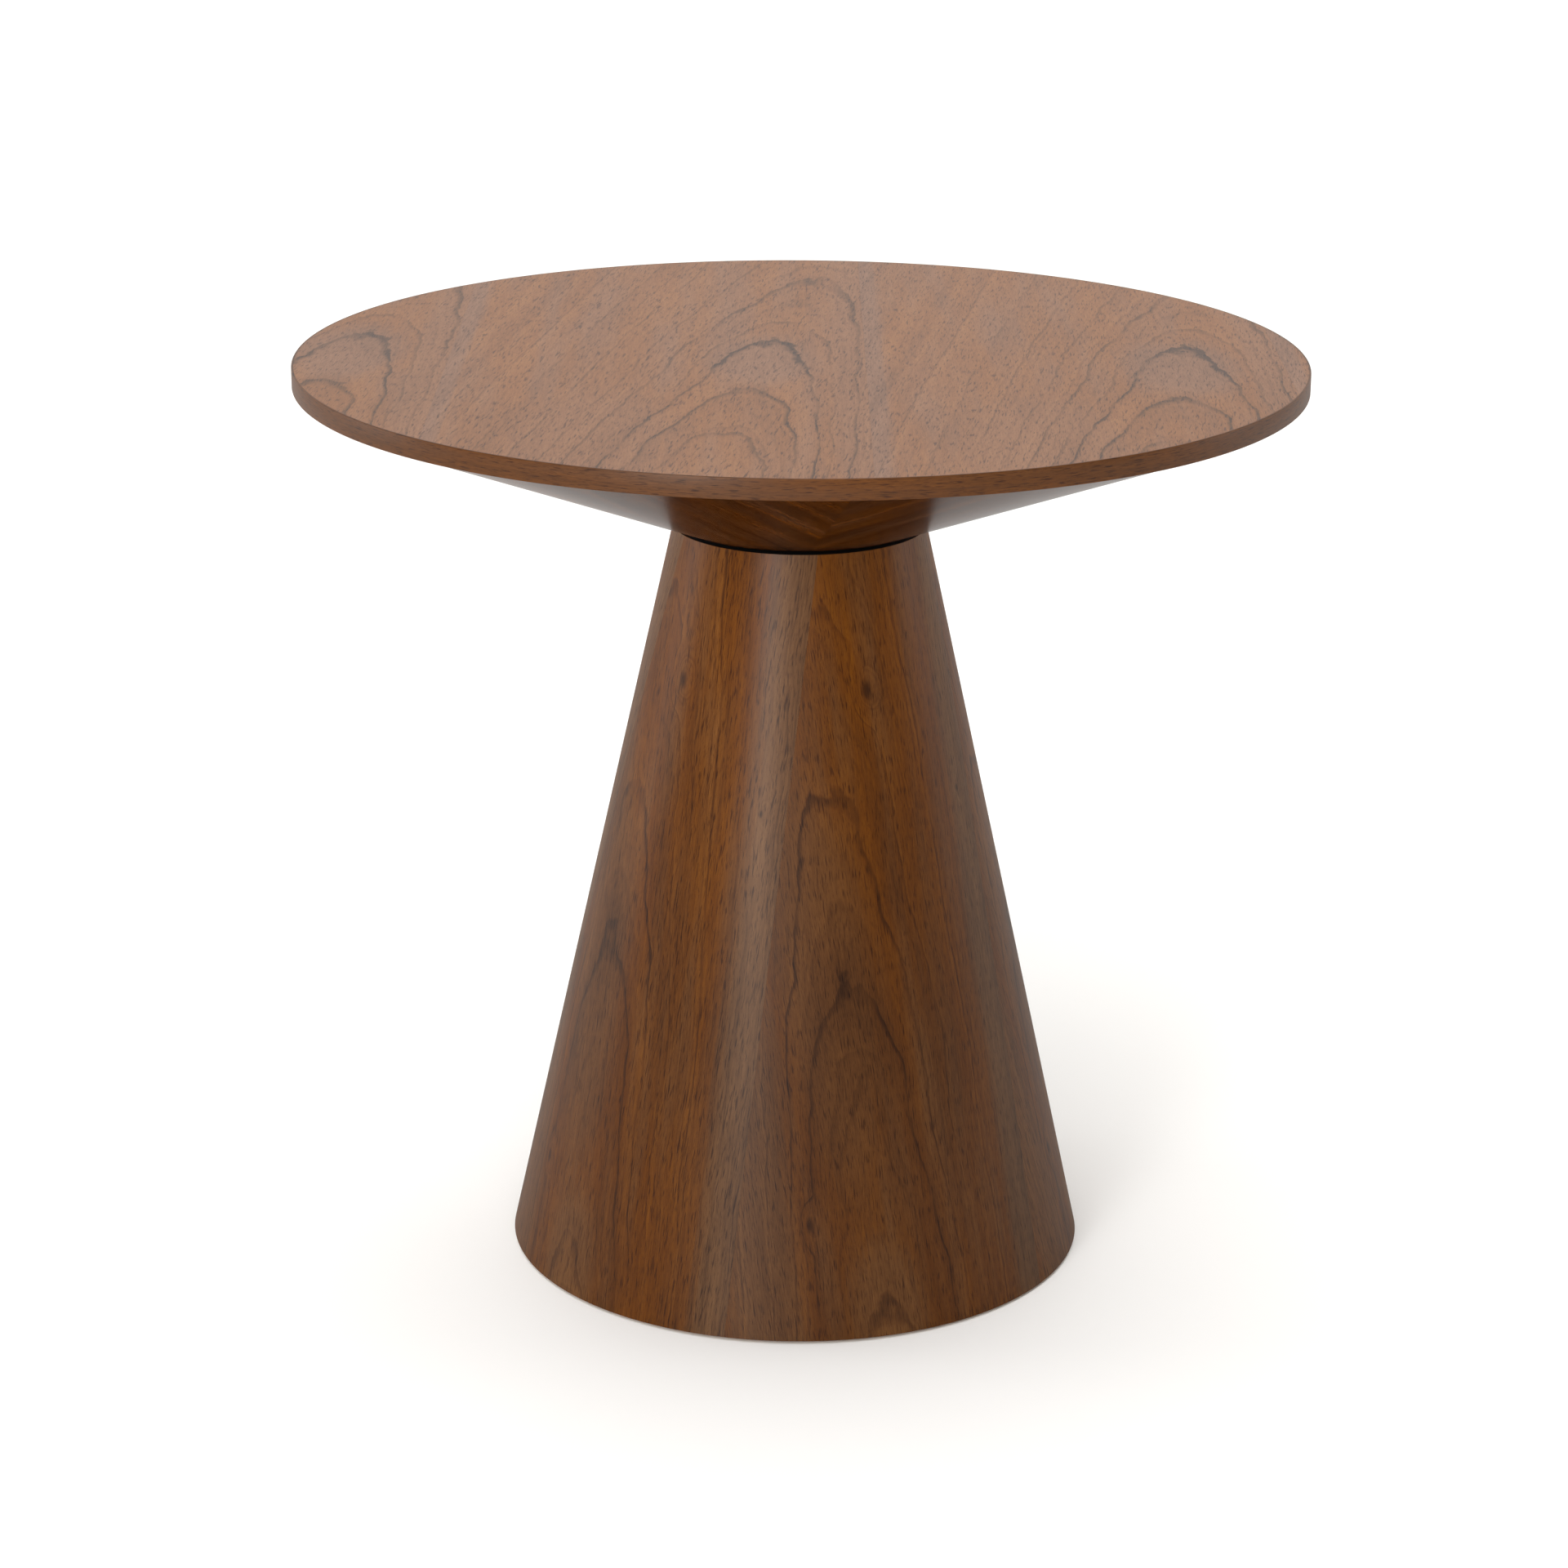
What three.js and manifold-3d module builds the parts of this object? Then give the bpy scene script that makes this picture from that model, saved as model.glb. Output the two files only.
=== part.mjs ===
// Round pedestal side table in walnut veneer: a thin disc top on a shallow upside-down cone,
// bolted through a recessed spacer to a tall hollow cone that stands on four levelling glides.
//
// Millimetres, +Z up, origin on the floor at the table's centre. An azimuth is measured from
// the table's front (-Y) towards its right side (+X).
import * as THREE from "three";
import { mergeVertices } from "three/addons/utils/BufferGeometryUtils.js";
import Module from "manifold-3d";

const wasm = await Module();
wasm.setup();

// ---- driving dimensions ----------------------------------------------------------------
const TOTAL_HEIGHT = 558;
const TOP_RADIUS = 300;
const TOP_THICKNESS = 12;
const FLOOR_GAP = 2;
const NECK_GAP = 2.5;

const PEDESTAL_HEIGHT = 455;
const PEDESTAL_FOOT_RADIUS = 177;
const PEDESTAL_NECK_RADIUS = 76;
const CONE_NECK_RADIUS = 76.5;
const CONE_RIM_RADIUS = 297.5;

const VENEER = 0.6;
const BAND = 1.2;
const GLUE_LINE = 0.35;
const SEAM = 0.3;
const CLEARANCE = 0.5;
const PEDESTAL_PLY = 8;
const CONE_PLY = 5;
const PANEL_MDF = 18;
const FORMER_MDF = 12;

const LEAF_WIDTH = 246;
const TOP_SEAM_X = 38;
const TOP_LEAVES = 4;
const PEDESTAL_LEAVES = 5;
const PEDESTAL_GRAIN_AZIMUTH = -30;
const PEDESTAL_SEAM_OFFSET = 50;
const CONE_LEAVES = 8;
const CONE_SEAM_AZIMUTH = 5;
const RIBS = 4;
const RIB_THICKNESS = 12;
const HUB_RADIUS = 45;

const FASTENERS = 4;
const BOLT_CIRCLE_RADIUS = 40;
const M8_RADIUS = 3.95;
const M8_TAPPED_RADIUS = 4.1;
const M8_CLEARANCE_RADIUS = 4.5;
const BOLT_HEAD_RADIUS = 6.5;
const BOLT_HEAD_HEIGHT = 8;
const BOLT_LENGTH = 35;
const HEX_KEY_RADIUS = 3.46;
const HEX_KEY_DEPTH = 4;
const INSERT_RADIUS = 6;
const INSERT_LENGTH = 13;
const WASHER_RADIUS = 8;
const WASHER_THICKNESS = 1.6;
const SPACER_RADIUS = 60;

const FORMER_HEIGHT = 220;
const FORMER_HOLE_RADIUS = 85;
const BASE_HOLE_RADIUS = 110;
const GLIDE_CIRCLE_RADIUS = 138;
const GLIDE_PAD_RADIUS = 14;
const GLIDE_PAD_HEIGHT = 5;
const GLIDE_RECESS_RADIUS = 15.5;
const GLIDE_RECESS_DEPTH = 8;
const GLIDE_STEM_LENGTH = 36;
const GLIDE_SOCKET_RADIUS = 3.6;
const GLIDE_SOCKET_DEPTH = 3;
const HEX_COLLAR_RADIUS = 7.5;
const HEX_COLLAR_HEIGHT = 4;
const NUT_BARREL_RADIUS = 5;
const NUT_FLANGE_RADIUS = 10;
const NUT_FLANGE_THICKNESS = 1.5;

// ---- heights that follow from them ------------------------------------------------------
const FOOT_Z = FLOOR_GAP;
const PEDESTAL_TOP_Z = FOOT_Z + PEDESTAL_HEIGHT;
const CONE_BOTTOM_Z = PEDESTAL_TOP_Z + NECK_GAP;
const PANEL_BOTTOM_Z = TOTAL_HEIGHT - TOP_THICKNESS;
const CORE_RADIUS = TOP_RADIUS - BAND - SEAM;
const TOP_PLATE_Z = PEDESTAL_TOP_Z - PANEL_MDF;
const BASE_TOP_Z = FOOT_Z + PANEL_MDF;
const NECK_PLATE_TOP_Z = CONE_BOTTOM_Z + PANEL_MDF;

// The two tapered bodies, each as the straight line of its finished surface.
const PEDESTAL = {
  bottomZ: FOOT_Z,
  topZ: PEDESTAL_TOP_Z,
  bottomRadius: PEDESTAL_FOOT_RADIUS,
  topRadius: PEDESTAL_NECK_RADIUS,
};
const CONE = {
  bottomZ: CONE_BOTTOM_Z,
  topZ: PANEL_BOTTOM_Z,
  bottomRadius: CONE_NECK_RADIUS,
  topRadius: CONE_RIM_RADIUS,
};
const PLY_DEPTH = VENEER + GLUE_LINE;
const PEDESTAL_INNER_DEPTH = PLY_DEPTH + PEDESTAL_PLY;
const CONE_INNER_DEPTH = PLY_DEPTH + CONE_PLY;

// How many flat sides stand for each round.
const RING_SEGMENTS = 48;
const RIM_SEGMENTS = 2 * RING_SEGMENTS;
const SMALL_SEGMENTS = 16;
const HEXAGON = 6;

// The bolts and the glides are spread evenly, starting half a step from the front.
const FASTENER_AZIMUTHS = Array.from(
  { length: FASTENERS },
  (_, i) => ((i + 0.5) / FASTENERS) * 2 * Math.PI,
);

// ---- materials -----------------------------------------------------------------------------
const finish = (color, roughness, metalness = 0) => () =>
  new THREE.MeshStandardMaterial({ color, roughness, metalness });
const topWalnut = finish(0x9b7c6c, 0.5);
const bandWalnut = finish(0x6e4422, 0.45);
const coneWalnut = finish(0x4a2c14, 0.5);
const pedestalWalnut = finish(0x6a4224, 0.45);
const backerWood = finish(0xb08d62, 0.6);
const mdf = finish(0xb2946c, 0.85);
const plywood = finish(0xc9a878, 0.7);
const blackMdf = finish(0x17120f, 0.8);
const zincSteel = finish(0xb4b6ba, 0.35, 1);
const brassSteel = finish(0xb99a4e, 0.35, 1);
const nylon = finish(0x1b1b1c, 0.6);

// ---- solids ----------------------------------------------------------------------------------
const radians = THREE.MathUtils.degToRad;

function toSolid(geometry) {
  const bare = geometry.clone();
  bare.deleteAttribute("normal");
  bare.deleteAttribute("uv");
  const merged = mergeVertices(bare, 1e-4);
  return new wasm.Manifold(
    new wasm.Mesh({
      numProp: 3,
      vertProperties: new Float32Array(merged.attributes.position.array),
      triVerts: new Uint32Array(merged.index.array),
    }),
  );
}

function toGeometry(solid) {
  const mesh = solid.getMesh();
  const geometry = new THREE.BufferGeometry();
  geometry.setAttribute("position", new THREE.BufferAttribute(mesh.vertProperties, 3));
  geometry.setIndex(new THREE.BufferAttribute(mesh.triVerts, 1));
  geometry.computeVertexNormals();
  return geometry;
}

const subtract = (geometry, ...cutters) =>
  toGeometry(cutters.reduce((left, cutter) => left.subtract(toSolid(cutter)), toSolid(geometry)));

const intersect = (geometry, other) => toGeometry(toSolid(geometry).intersect(toSolid(other)));

// An outline of [radius, z] points, counter-clockwise, turned about the Z axis. It starts and
// ends on the axis, or it is closed on itself.
function turned(outline, segments) {
  const startsOnAxis = outline[0][0] === 0;
  const profile = startsOnAxis ? outline : [...outline, outline[0]];
  const points = profile.map(([radius, z]) => new THREE.Vector2(radius, z));
  return new THREE.LatheGeometry(points, segments).rotateX(Math.PI / 2);
}

function disc(radius, bottomZ, topZ, segments) {
  const height = topZ - bottomZ;
  return new THREE.CylinderGeometry(radius, radius, height, segments)
    .rotateX(Math.PI / 2)
    .translate(0, 0, bottomZ + height / 2);
}

function ring(innerRadius, outerRadius, bottomZ, topZ, segments) {
  const outline = [
    [innerRadius, bottomZ],
    [outerRadius, bottomZ],
    [outerRadius, topZ],
    [innerRadius, topZ],
  ];
  return turned(outline, segments);
}

function radiusAt(cone, z, depth = 0) {
  const height = cone.topZ - cone.bottomZ;
  const spread = cone.topRadius - cone.bottomRadius;
  const slant = Math.hypot(height, spread) / height;
  return cone.bottomRadius + (spread * (z - cone.bottomZ)) / height - depth * slant;
}

const onCircle = (radius, azimuth) =>
  new THREE.Vector3(radius * Math.sin(azimuth), -radius * Math.cos(azimuth), 0);

// A sheet bent onto a cone between two depths under its finished surface, over its whole height.
// startAt and endAt give the azimuths of the sheet's side edges at a height.
function bentSheet(cone, outerDepth, innerDepth, startAt, endAt, across, along) {
  const geometry = new THREE.BoxGeometry(1, 1, 1, across, along, 1);
  const position = geometry.attributes.position;
  for (let i = 0; i < position.count; i += 1) {
    const z = THREE.MathUtils.lerp(cone.bottomZ, cone.topZ, position.getY(i) + 0.5);
    const halfSeam = SEAM / 2 / radiusAt(cone, z);
    const azimuth = THREE.MathUtils.lerp(
      startAt(z) + halfSeam,
      endAt(z) - halfSeam,
      position.getX(i) + 0.5,
    );
    const depth = position.getZ(i) > 0 ? outerDepth : innerDepth;
    const point = onCircle(radiusAt(cone, z, depth), azimuth);
    position.setXYZ(i, point.x, point.y, z);
  }
  return geometry;
}

// A board that fills a cone's bore between two heights, with an optional round hole.
function boreBoard(cone, innerDepth, clearance, bottomZ, topZ, holeRadius = 0) {
  const outline = [
    [holeRadius, bottomZ],
    [radiusAt(cone, bottomZ, innerDepth) - clearance, bottomZ],
    [radiusAt(cone, topZ, innerDepth) - clearance, topZ],
    [holeRadius, topZ],
  ];
  return turned(outline, RING_SEGMENTS);
}

// Round holes at equal steps on a circle, as cutters.
function holes(radius, circleRadius, bottomZ, topZ) {
  return FASTENER_AZIMUTHS.map((azimuth) => {
    const place = onCircle(circleRadius, azimuth);
    return disc(radius, bottomZ, topZ, SMALL_SEGMENTS).translate(place.x, place.y, 0);
  });
}

function piece(name, geometry, material) {
  const mesh = new THREE.Mesh(geometry, material());
  mesh.name = name;
  return mesh;
}

// ---- top panel ---------------------------------------------------------------------------------
// MDF core, balancing veneer below, slip-matched face veneer above, and an edge band round it.
function topPanel() {
  const group = new THREE.Group();
  const coreBottomZ = PANEL_BOTTOM_Z + VENEER;
  const coreTopZ = TOTAL_HEIGHT - VENEER;
  const backer = disc(CORE_RADIUS, PANEL_BOTTOM_Z, coreBottomZ, RIM_SEGMENTS);
  const core = disc(CORE_RADIUS, coreBottomZ, coreTopZ, RIM_SEGMENTS);
  const band = ring(TOP_RADIUS - BAND, TOP_RADIUS, PANEL_BOTTOM_Z, TOTAL_HEIGHT, RIM_SEGMENTS);
  group.add(
    piece("top_backing_veneer", backer, backerWood),
    piece("top_core", core, mdf),
    piece("top_edge_band", band, bandWalnut),
  );
  const face = disc(CORE_RADIUS, coreTopZ, TOTAL_HEIGHT, RIM_SEGMENTS);
  const firstLeafX = TOP_SEAM_X - 1.5 * LEAF_WIDTH;
  for (let leaf = 0; leaf < TOP_LEAVES; leaf += 1) {
    const strip = new THREE.BoxGeometry(LEAF_WIDTH - SEAM, 2 * TOP_RADIUS, TOP_THICKNESS);
    strip.translate(firstLeafX + leaf * LEAF_WIDTH, 0, TOTAL_HEIGHT);
    group.add(piece(`top_veneer_leaf_${leaf + 1}`, intersect(face, strip), topWalnut));
  }
  return group;
}

// ---- cone under the top ------------------------------------------------------------------------
// Bent plywood halves over radial ribs and a hub, veneered with wedges whose grain runs outwards.
function undersideCone() {
  const group = new THREE.Group();
  const seam = radians(CONE_SEAM_AZIMUTH);
  ["right", "left"].forEach((side, half) => {
    const start = seam + half * Math.PI;
    const shell = bentSheet(
      CONE, PLY_DEPTH, CONE_INNER_DEPTH, () => start, () => start + Math.PI, RING_SEGMENTS / 2, 1,
    );
    group.add(piece(`underside_shell_${side}`, shell, plywood));
  });

  const wedge = (2 * Math.PI) / CONE_LEAVES;
  for (let leaf = 0; leaf < CONE_LEAVES; leaf += 1) {
    const start = seam + leaf * wedge;
    const across = RING_SEGMENTS / CONE_LEAVES;
    const veneer = bentSheet(CONE, 0, VENEER, () => start, () => start + wedge, across, 1);
    group.add(piece(`underside_veneer_leaf_${leaf + 1}`, veneer, coneWalnut));
  }

  const hub = disc(HUB_RADIUS, NECK_PLATE_TOP_Z, PANEL_BOTTOM_Z, SMALL_SEGMENTS);
  group.add(piece("underside_hub", hub, mdf));

  const rise = NECK_PLATE_TOP_Z + CLEARANCE;
  const ribGap = 3 * CLEARANCE;
  const outline = new THREE.Shape([
    new THREE.Vector2(HUB_RADIUS + CLEARANCE, rise),
    new THREE.Vector2(radiusAt(CONE, rise, CONE_INNER_DEPTH) - ribGap, rise),
    new THREE.Vector2(radiusAt(CONE, PANEL_BOTTOM_Z, CONE_INNER_DEPTH) - ribGap, PANEL_BOTTOM_Z),
    new THREE.Vector2(HUB_RADIUS + CLEARANCE, PANEL_BOTTOM_Z),
  ]);
  const options = { depth: RIB_THICKNESS, bevelEnabled: false };
  for (let rib = 0; rib < RIBS; rib += 1) {
    const board = new THREE.ExtrudeGeometry(outline, options)
      .translate(0, 0, -RIB_THICKNESS / 2)
      .rotateX(Math.PI / 2);
    const mesh = piece(`underside_rib_${rib + 1}`, board, plywood);
    mesh.rotation.z = (rib / RIBS) * 2 * Math.PI;
    group.add(mesh);
  }
  return group;
}

// ---- neck ----------------------------------------------------------------------------------------
// A plate glued into the cone's narrow end takes threaded inserts. Four screws come up from inside
// the pedestal, through its top plate and the recessed spacer that leaves a shadow gap.
function neck() {
  const group = new THREE.Group();
  const plate = boreBoard(CONE, CONE_INNER_DEPTH, CLEARANCE, CONE_BOTTOM_Z, NECK_PLATE_TOP_Z);
  const insertHoles = holes(
    INSERT_RADIUS + SEAM, BOLT_CIRCLE_RADIUS, CONE_BOTTOM_Z - 1, NECK_PLATE_TOP_Z + 1,
  );
  group.add(piece("neck_plate", subtract(plate, ...insertHoles), mdf));

  const spacer = disc(SPACER_RADIUS, PEDESTAL_TOP_Z, CONE_BOTTOM_Z, RING_SEGMENTS);
  const boltHoles = holes(
    M8_CLEARANCE_RADIUS, BOLT_CIRCLE_RADIUS, TOP_PLATE_Z - 1, CONE_BOTTOM_Z + 1,
  );
  group.add(piece("neck_spacer", subtract(spacer, ...boltHoles), blackMdf));

  FASTENER_AZIMUTHS.forEach((azimuth, i) => {
    const set = new THREE.Group();
    set.position.copy(onCircle(BOLT_CIRCLE_RADIUS, azimuth));
    set.add(
      piece(`neck_insert_${i + 1}`, threadedInsert(), brassSteel),
      piece(`neck_washer_${i + 1}`, washer(), zincSteel),
      piece(`neck_bolt_${i + 1}`, socketHeadBolt(), zincSteel),
    );
    group.add(set);
  });
  return group;
}

function threadedInsert() {
  const topZ = CONE_BOTTOM_Z + INSERT_LENGTH;
  return ring(M8_TAPPED_RADIUS, INSERT_RADIUS, CONE_BOTTOM_Z, topZ, SMALL_SEGMENTS);
}

function washer() {
  const bottomZ = TOP_PLATE_Z - WASHER_THICKNESS;
  return ring(M8_CLEARANCE_RADIUS, WASHER_RADIUS, bottomZ, TOP_PLATE_Z, SMALL_SEGMENTS);
}

function socketHeadBolt() {
  const headTopZ = TOP_PLATE_Z - WASHER_THICKNESS;
  const headBottomZ = headTopZ - BOLT_HEAD_HEIGHT;
  const outline = [
    [0, headBottomZ],
    [BOLT_HEAD_RADIUS, headBottomZ],
    [BOLT_HEAD_RADIUS, headTopZ],
    [M8_RADIUS, headTopZ],
    [M8_RADIUS, headTopZ + BOLT_LENGTH],
    [0, headTopZ + BOLT_LENGTH],
  ];
  const key = disc(HEX_KEY_RADIUS, headBottomZ - 1, headBottomZ + HEX_KEY_DEPTH, HEXAGON);
  return subtract(turned(outline, SMALL_SEGMENTS), key);
}

// ---- pedestal ------------------------------------------------------------------------------------
// Two bent plywood halves over a top plate, a former and a base ring, wrapped in five veneer
// leaves. The edge of each leaf is a straight line on the flat sheet, set off from the cone's
// axis, so it winds a little way round the cone.
function pedestal() {
  const group = new THREE.Group();
  ["front", "back"].forEach((side, half) => {
    const start = (half - 0.5) * Math.PI;
    const shell = bentSheet(
      PEDESTAL, PLY_DEPTH, PEDESTAL_INNER_DEPTH, () => start, () => start + Math.PI,
      RING_SEGMENTS / 2, 1,
    );
    group.add(piece(`pedestal_shell_${side}`, shell, plywood));
  });

  const spread = PEDESTAL_FOOT_RADIUS - PEDESTAL_NECK_RADIUS;
  const sine = spread / Math.hypot(spread, PEDESTAL_HEIGHT);
  const turn = (2 * Math.PI) / PEDESTAL_LEAVES;
  for (let leaf = 0; leaf < PEDESTAL_LEAVES; leaf += 1) {
    const seamAt = (z) =>
      radians(PEDESTAL_GRAIN_AZIMUTH) +
      leaf * turn +
      Math.asin((PEDESTAL_SEAM_OFFSET * sine) / radiusAt(PEDESTAL, z)) / sine;
    const veneer = bentSheet(PEDESTAL, 0, VENEER, seamAt, (z) => seamAt(z) + turn, 12, 6);
    group.add(piece(`pedestal_veneer_leaf_${leaf + 1}`, veneer, pedestalWalnut));
  }

  const topPlate = boreBoard(
    PEDESTAL, PEDESTAL_INNER_DEPTH, CLEARANCE, TOP_PLATE_Z, PEDESTAL_TOP_Z,
  );
  const boltHoles = holes(
    M8_CLEARANCE_RADIUS, BOLT_CIRCLE_RADIUS, TOP_PLATE_Z - 1, PEDESTAL_TOP_Z + 1,
  );
  group.add(piece("pedestal_top_plate", subtract(topPlate, ...boltHoles), mdf));

  const former = boreBoard(
    PEDESTAL, PEDESTAL_INNER_DEPTH, CLEARANCE,
    FORMER_HEIGHT, FORMER_HEIGHT + FORMER_MDF, FORMER_HOLE_RADIUS,
  );
  group.add(piece("pedestal_former", former, mdf));

  const base = boreBoard(
    PEDESTAL, PEDESTAL_INNER_DEPTH, CLEARANCE, FOOT_Z, BASE_TOP_Z, BASE_HOLE_RADIUS,
  );
  const recesses = holes(
    GLIDE_RECESS_RADIUS, GLIDE_CIRCLE_RADIUS, FOOT_Z - 1, FOOT_Z + GLIDE_RECESS_DEPTH,
  );
  const nutHoles = holes(
    NUT_BARREL_RADIUS + SEAM, GLIDE_CIRCLE_RADIUS, FOOT_Z, BASE_TOP_Z + 1,
  );
  group.add(piece("pedestal_base_ring", subtract(base, ...recesses, ...nutHoles), mdf));
  return group;
}

// ---- levelling glides ----------------------------------------------------------------------------
// Each has a tee nut pressed into the base ring, a screw with a hexagonal collar, and a round pad
// that swivels on the screw's lower end. All are drawn fully screwed in.
function glides() {
  const group = new THREE.Group();
  FASTENER_AZIMUTHS.forEach((azimuth, i) => {
    const glide = new THREE.Group();
    glide.position.copy(onCircle(GLIDE_CIRCLE_RADIUS, azimuth));
    glide.add(
      piece(`glide_nut_${i + 1}`, teeNut(), zincSteel),
      piece(`glide_stem_${i + 1}`, glideStem(), zincSteel),
      piece(`glide_pad_${i + 1}`, glidePad(), nylon),
    );
    group.add(glide);
  });
  return group;
}

function teeNut() {
  const outline = [
    [M8_TAPPED_RADIUS, FOOT_Z + GLIDE_RECESS_DEPTH + 1],
    [NUT_BARREL_RADIUS, FOOT_Z + GLIDE_RECESS_DEPTH + 1],
    [NUT_BARREL_RADIUS, BASE_TOP_Z],
    [NUT_FLANGE_RADIUS, BASE_TOP_Z],
    [NUT_FLANGE_RADIUS, BASE_TOP_Z + NUT_FLANGE_THICKNESS],
    [M8_TAPPED_RADIUS, BASE_TOP_Z + NUT_FLANGE_THICKNESS],
  ];
  return turned(outline, SMALL_SEGMENTS);
}

function glideStem() {
  const collarBottomZ = GLIDE_PAD_HEIGHT + SEAM;
  const pinRadius = GLIDE_SOCKET_RADIUS - SEAM;
  const pinBottomZ = GLIDE_PAD_HEIGHT - GLIDE_SOCKET_DEPTH + SEAM;
  const pin = disc(pinRadius, pinBottomZ, collarBottomZ + 1, SMALL_SEGMENTS);
  const collarTopZ = collarBottomZ + HEX_COLLAR_HEIGHT;
  const collar = disc(HEX_COLLAR_RADIUS, collarBottomZ, collarTopZ, HEXAGON);
  const thread = disc(M8_RADIUS, collarTopZ - 1, pinBottomZ + GLIDE_STEM_LENGTH, SMALL_SEGMENTS);
  return toGeometry(toSolid(collar).add(toSolid(pin)).add(toSolid(thread)));
}

function glidePad() {
  const edge = 1;
  const floorZ = GLIDE_PAD_HEIGHT - GLIDE_SOCKET_DEPTH;
  const outline = [
    [0, 0],
    [GLIDE_PAD_RADIUS - edge, 0],
    [GLIDE_PAD_RADIUS, edge],
    [GLIDE_PAD_RADIUS - edge, GLIDE_PAD_HEIGHT],
    [GLIDE_SOCKET_RADIUS, GLIDE_PAD_HEIGHT],
    [GLIDE_SOCKET_RADIUS, floorZ],
    [0, floorZ],
  ];
  return turned(outline, SMALL_SEGMENTS);
}

const table = new THREE.Group();
table.add(topPanel(), undersideCone(), neck(), pedestal(), glides());

export default table;
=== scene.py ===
"""The looks of a round pedestal side table in walnut veneer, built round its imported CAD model.

Metres, +Z up, origin on the floor at the table's centre. An azimuth is measured from the table's
front (-Y) towards its right side (+X), as in the CAD source. Veneer figure is drawn in the plane
of the flat leaf before it is bent: each veneer piece carries its flat-sheet coordinates in a mesh
attribute, and the walnut materials work out growth rings, pores and colour from those.
"""

import math

import bmesh
import bpy
import numpy as np
from mathutils import Matrix, Vector


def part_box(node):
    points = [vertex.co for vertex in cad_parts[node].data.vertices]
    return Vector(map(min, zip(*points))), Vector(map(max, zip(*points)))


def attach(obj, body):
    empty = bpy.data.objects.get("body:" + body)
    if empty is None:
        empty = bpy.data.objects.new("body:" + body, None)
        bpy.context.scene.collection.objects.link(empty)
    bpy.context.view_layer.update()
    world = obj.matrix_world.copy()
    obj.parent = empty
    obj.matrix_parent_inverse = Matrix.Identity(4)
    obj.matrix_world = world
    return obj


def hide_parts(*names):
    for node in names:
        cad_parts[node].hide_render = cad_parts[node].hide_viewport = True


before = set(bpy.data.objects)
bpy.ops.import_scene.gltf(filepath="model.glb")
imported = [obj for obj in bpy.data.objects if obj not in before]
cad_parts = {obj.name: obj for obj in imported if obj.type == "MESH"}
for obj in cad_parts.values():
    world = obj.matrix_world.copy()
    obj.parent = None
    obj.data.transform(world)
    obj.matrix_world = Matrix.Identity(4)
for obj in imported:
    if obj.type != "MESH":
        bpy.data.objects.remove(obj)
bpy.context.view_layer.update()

MM = 0.001
TABLE = "table"
SHEET = "sheet"
SHADE = "shade"

# ---- the camera, solved from the photograph's perspective ---------------------------------------
CAMERA_PLACE = Vector((-0.00856, -2.4063, 1.0799))
CAMERA_PITCH = 0.31648
CAMERA_ROLL = -0.00611
CAMERA_LENS = 95.0
CAMERA_SENSOR = 36
CAMERA_REACH = 200

# ---- joinery that the CAD boxes don't give ------------------------------------------------------
HAIRLINE = 0.04 * MM
VENEER = 0.6 * MM
GLUE_LINE = 0.05 * MM
PEDESTAL_LEAVES = 5
PEDESTAL_GRAIN_AZIMUTH = math.radians(-30)
PEDESTAL_SEAM_OFFSET = 50 * MM
CONE_LEAVES = 8
CONE_SEAM_AZIMUTH = math.radians(5)
TOP_LEAVES = 4
TOP_LEAF_WIDTH = 246 * MM
TOP_SEAM_X = 38 * MM
TOP_LEAF_SLIP = 14 * MM
PEDESTAL_PLY = 8 * MM
BOARD_CLEARANCE = 0.3 * MM
FACE_OVERHANG = 0.25 * MM  # how far the top's face leaves reach past their core
FORMER_HOLE_RADIUS = 85 * MM
BASE_HOLE_RADIUS = 110 * MM
BOLT_HOLE_RADIUS = 4.5 * MM
GLIDE_RECESS_RADIUS = 15.5 * MM
GLIDE_RECESS_DEPTH = 8 * MM
NUT_HOLE_RADIUS = 5.3 * MM
DRILL_OVERSHOOT = MM

# ---- broken edges -------------------------------------------------------------------------------
BAND_EDGE = 0.5 * MM
BOARD_EDGE = 0.5 * MM
BORE_EDGE = 0.8 * MM
WASHER_EDGE = 0.25 * MM
BOLT_EDGE = 0.6 * MM
BOLT_NECK_EDGE = 0.3 * MM
HEX_KEY_EDGE = 0.2 * MM
PAD_FOOT_EDGE = 1.2 * MM
PAD_TOP_EDGE = 0.8 * MM
SOCKET_EDGE = 0.3 * MM
STEM_EDGE = 0.5 * MM
NUT_EDGE = 0.25 * MM

# ---- fasteners and glides -----------------------------------------------------------------------
FASTENERS = 4
THREAD_PITCH = 1.25 * MM
THREAD_DEPTH = 0.55 * MM
THREAD_STEPS = 6  # rows of points in one turn
THREAD_RUNOUT = MM
M8_RADIUS = 3.95 * MM
M8_TAPPED_RADIUS = 4.1 * MM
BOLT_HEAD_HEIGHT = 8 * MM
HEX_KEY_RADIUS = 3.46 * MM
HEX_KEY_DEPTH = 4 * MM
HEX_KEY_POINT = 1.2 * MM
KNURL_DEPTH = 0.22 * MM
BOLT_SHANK = 2 * MM
GLIDE_SOCKET_RADIUS = 3.6 * MM
GLIDE_SOCKET_DEPTH = 3 * MM
GLIDE_PIN_RADIUS = 3.3 * MM
GLIDE_GAP = 0.3 * MM
PAD_FOOT_RING = 2.2 * MM  # a ring of points on the pad's flat foot, this far in from its side
PAD_TAPER = 0.9 * MM
HEX_COLLAR_RADIUS = 7.5 * MM
HEX_COLLAR_HEIGHT = 4 * MM
COLLAR_FACE_RADIUS = 6.7 * MM
NUT_BARREL_RADIUS = 5 * MM
NUT_FLANGE_THICKNESS = 1.5 * MM

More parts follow.
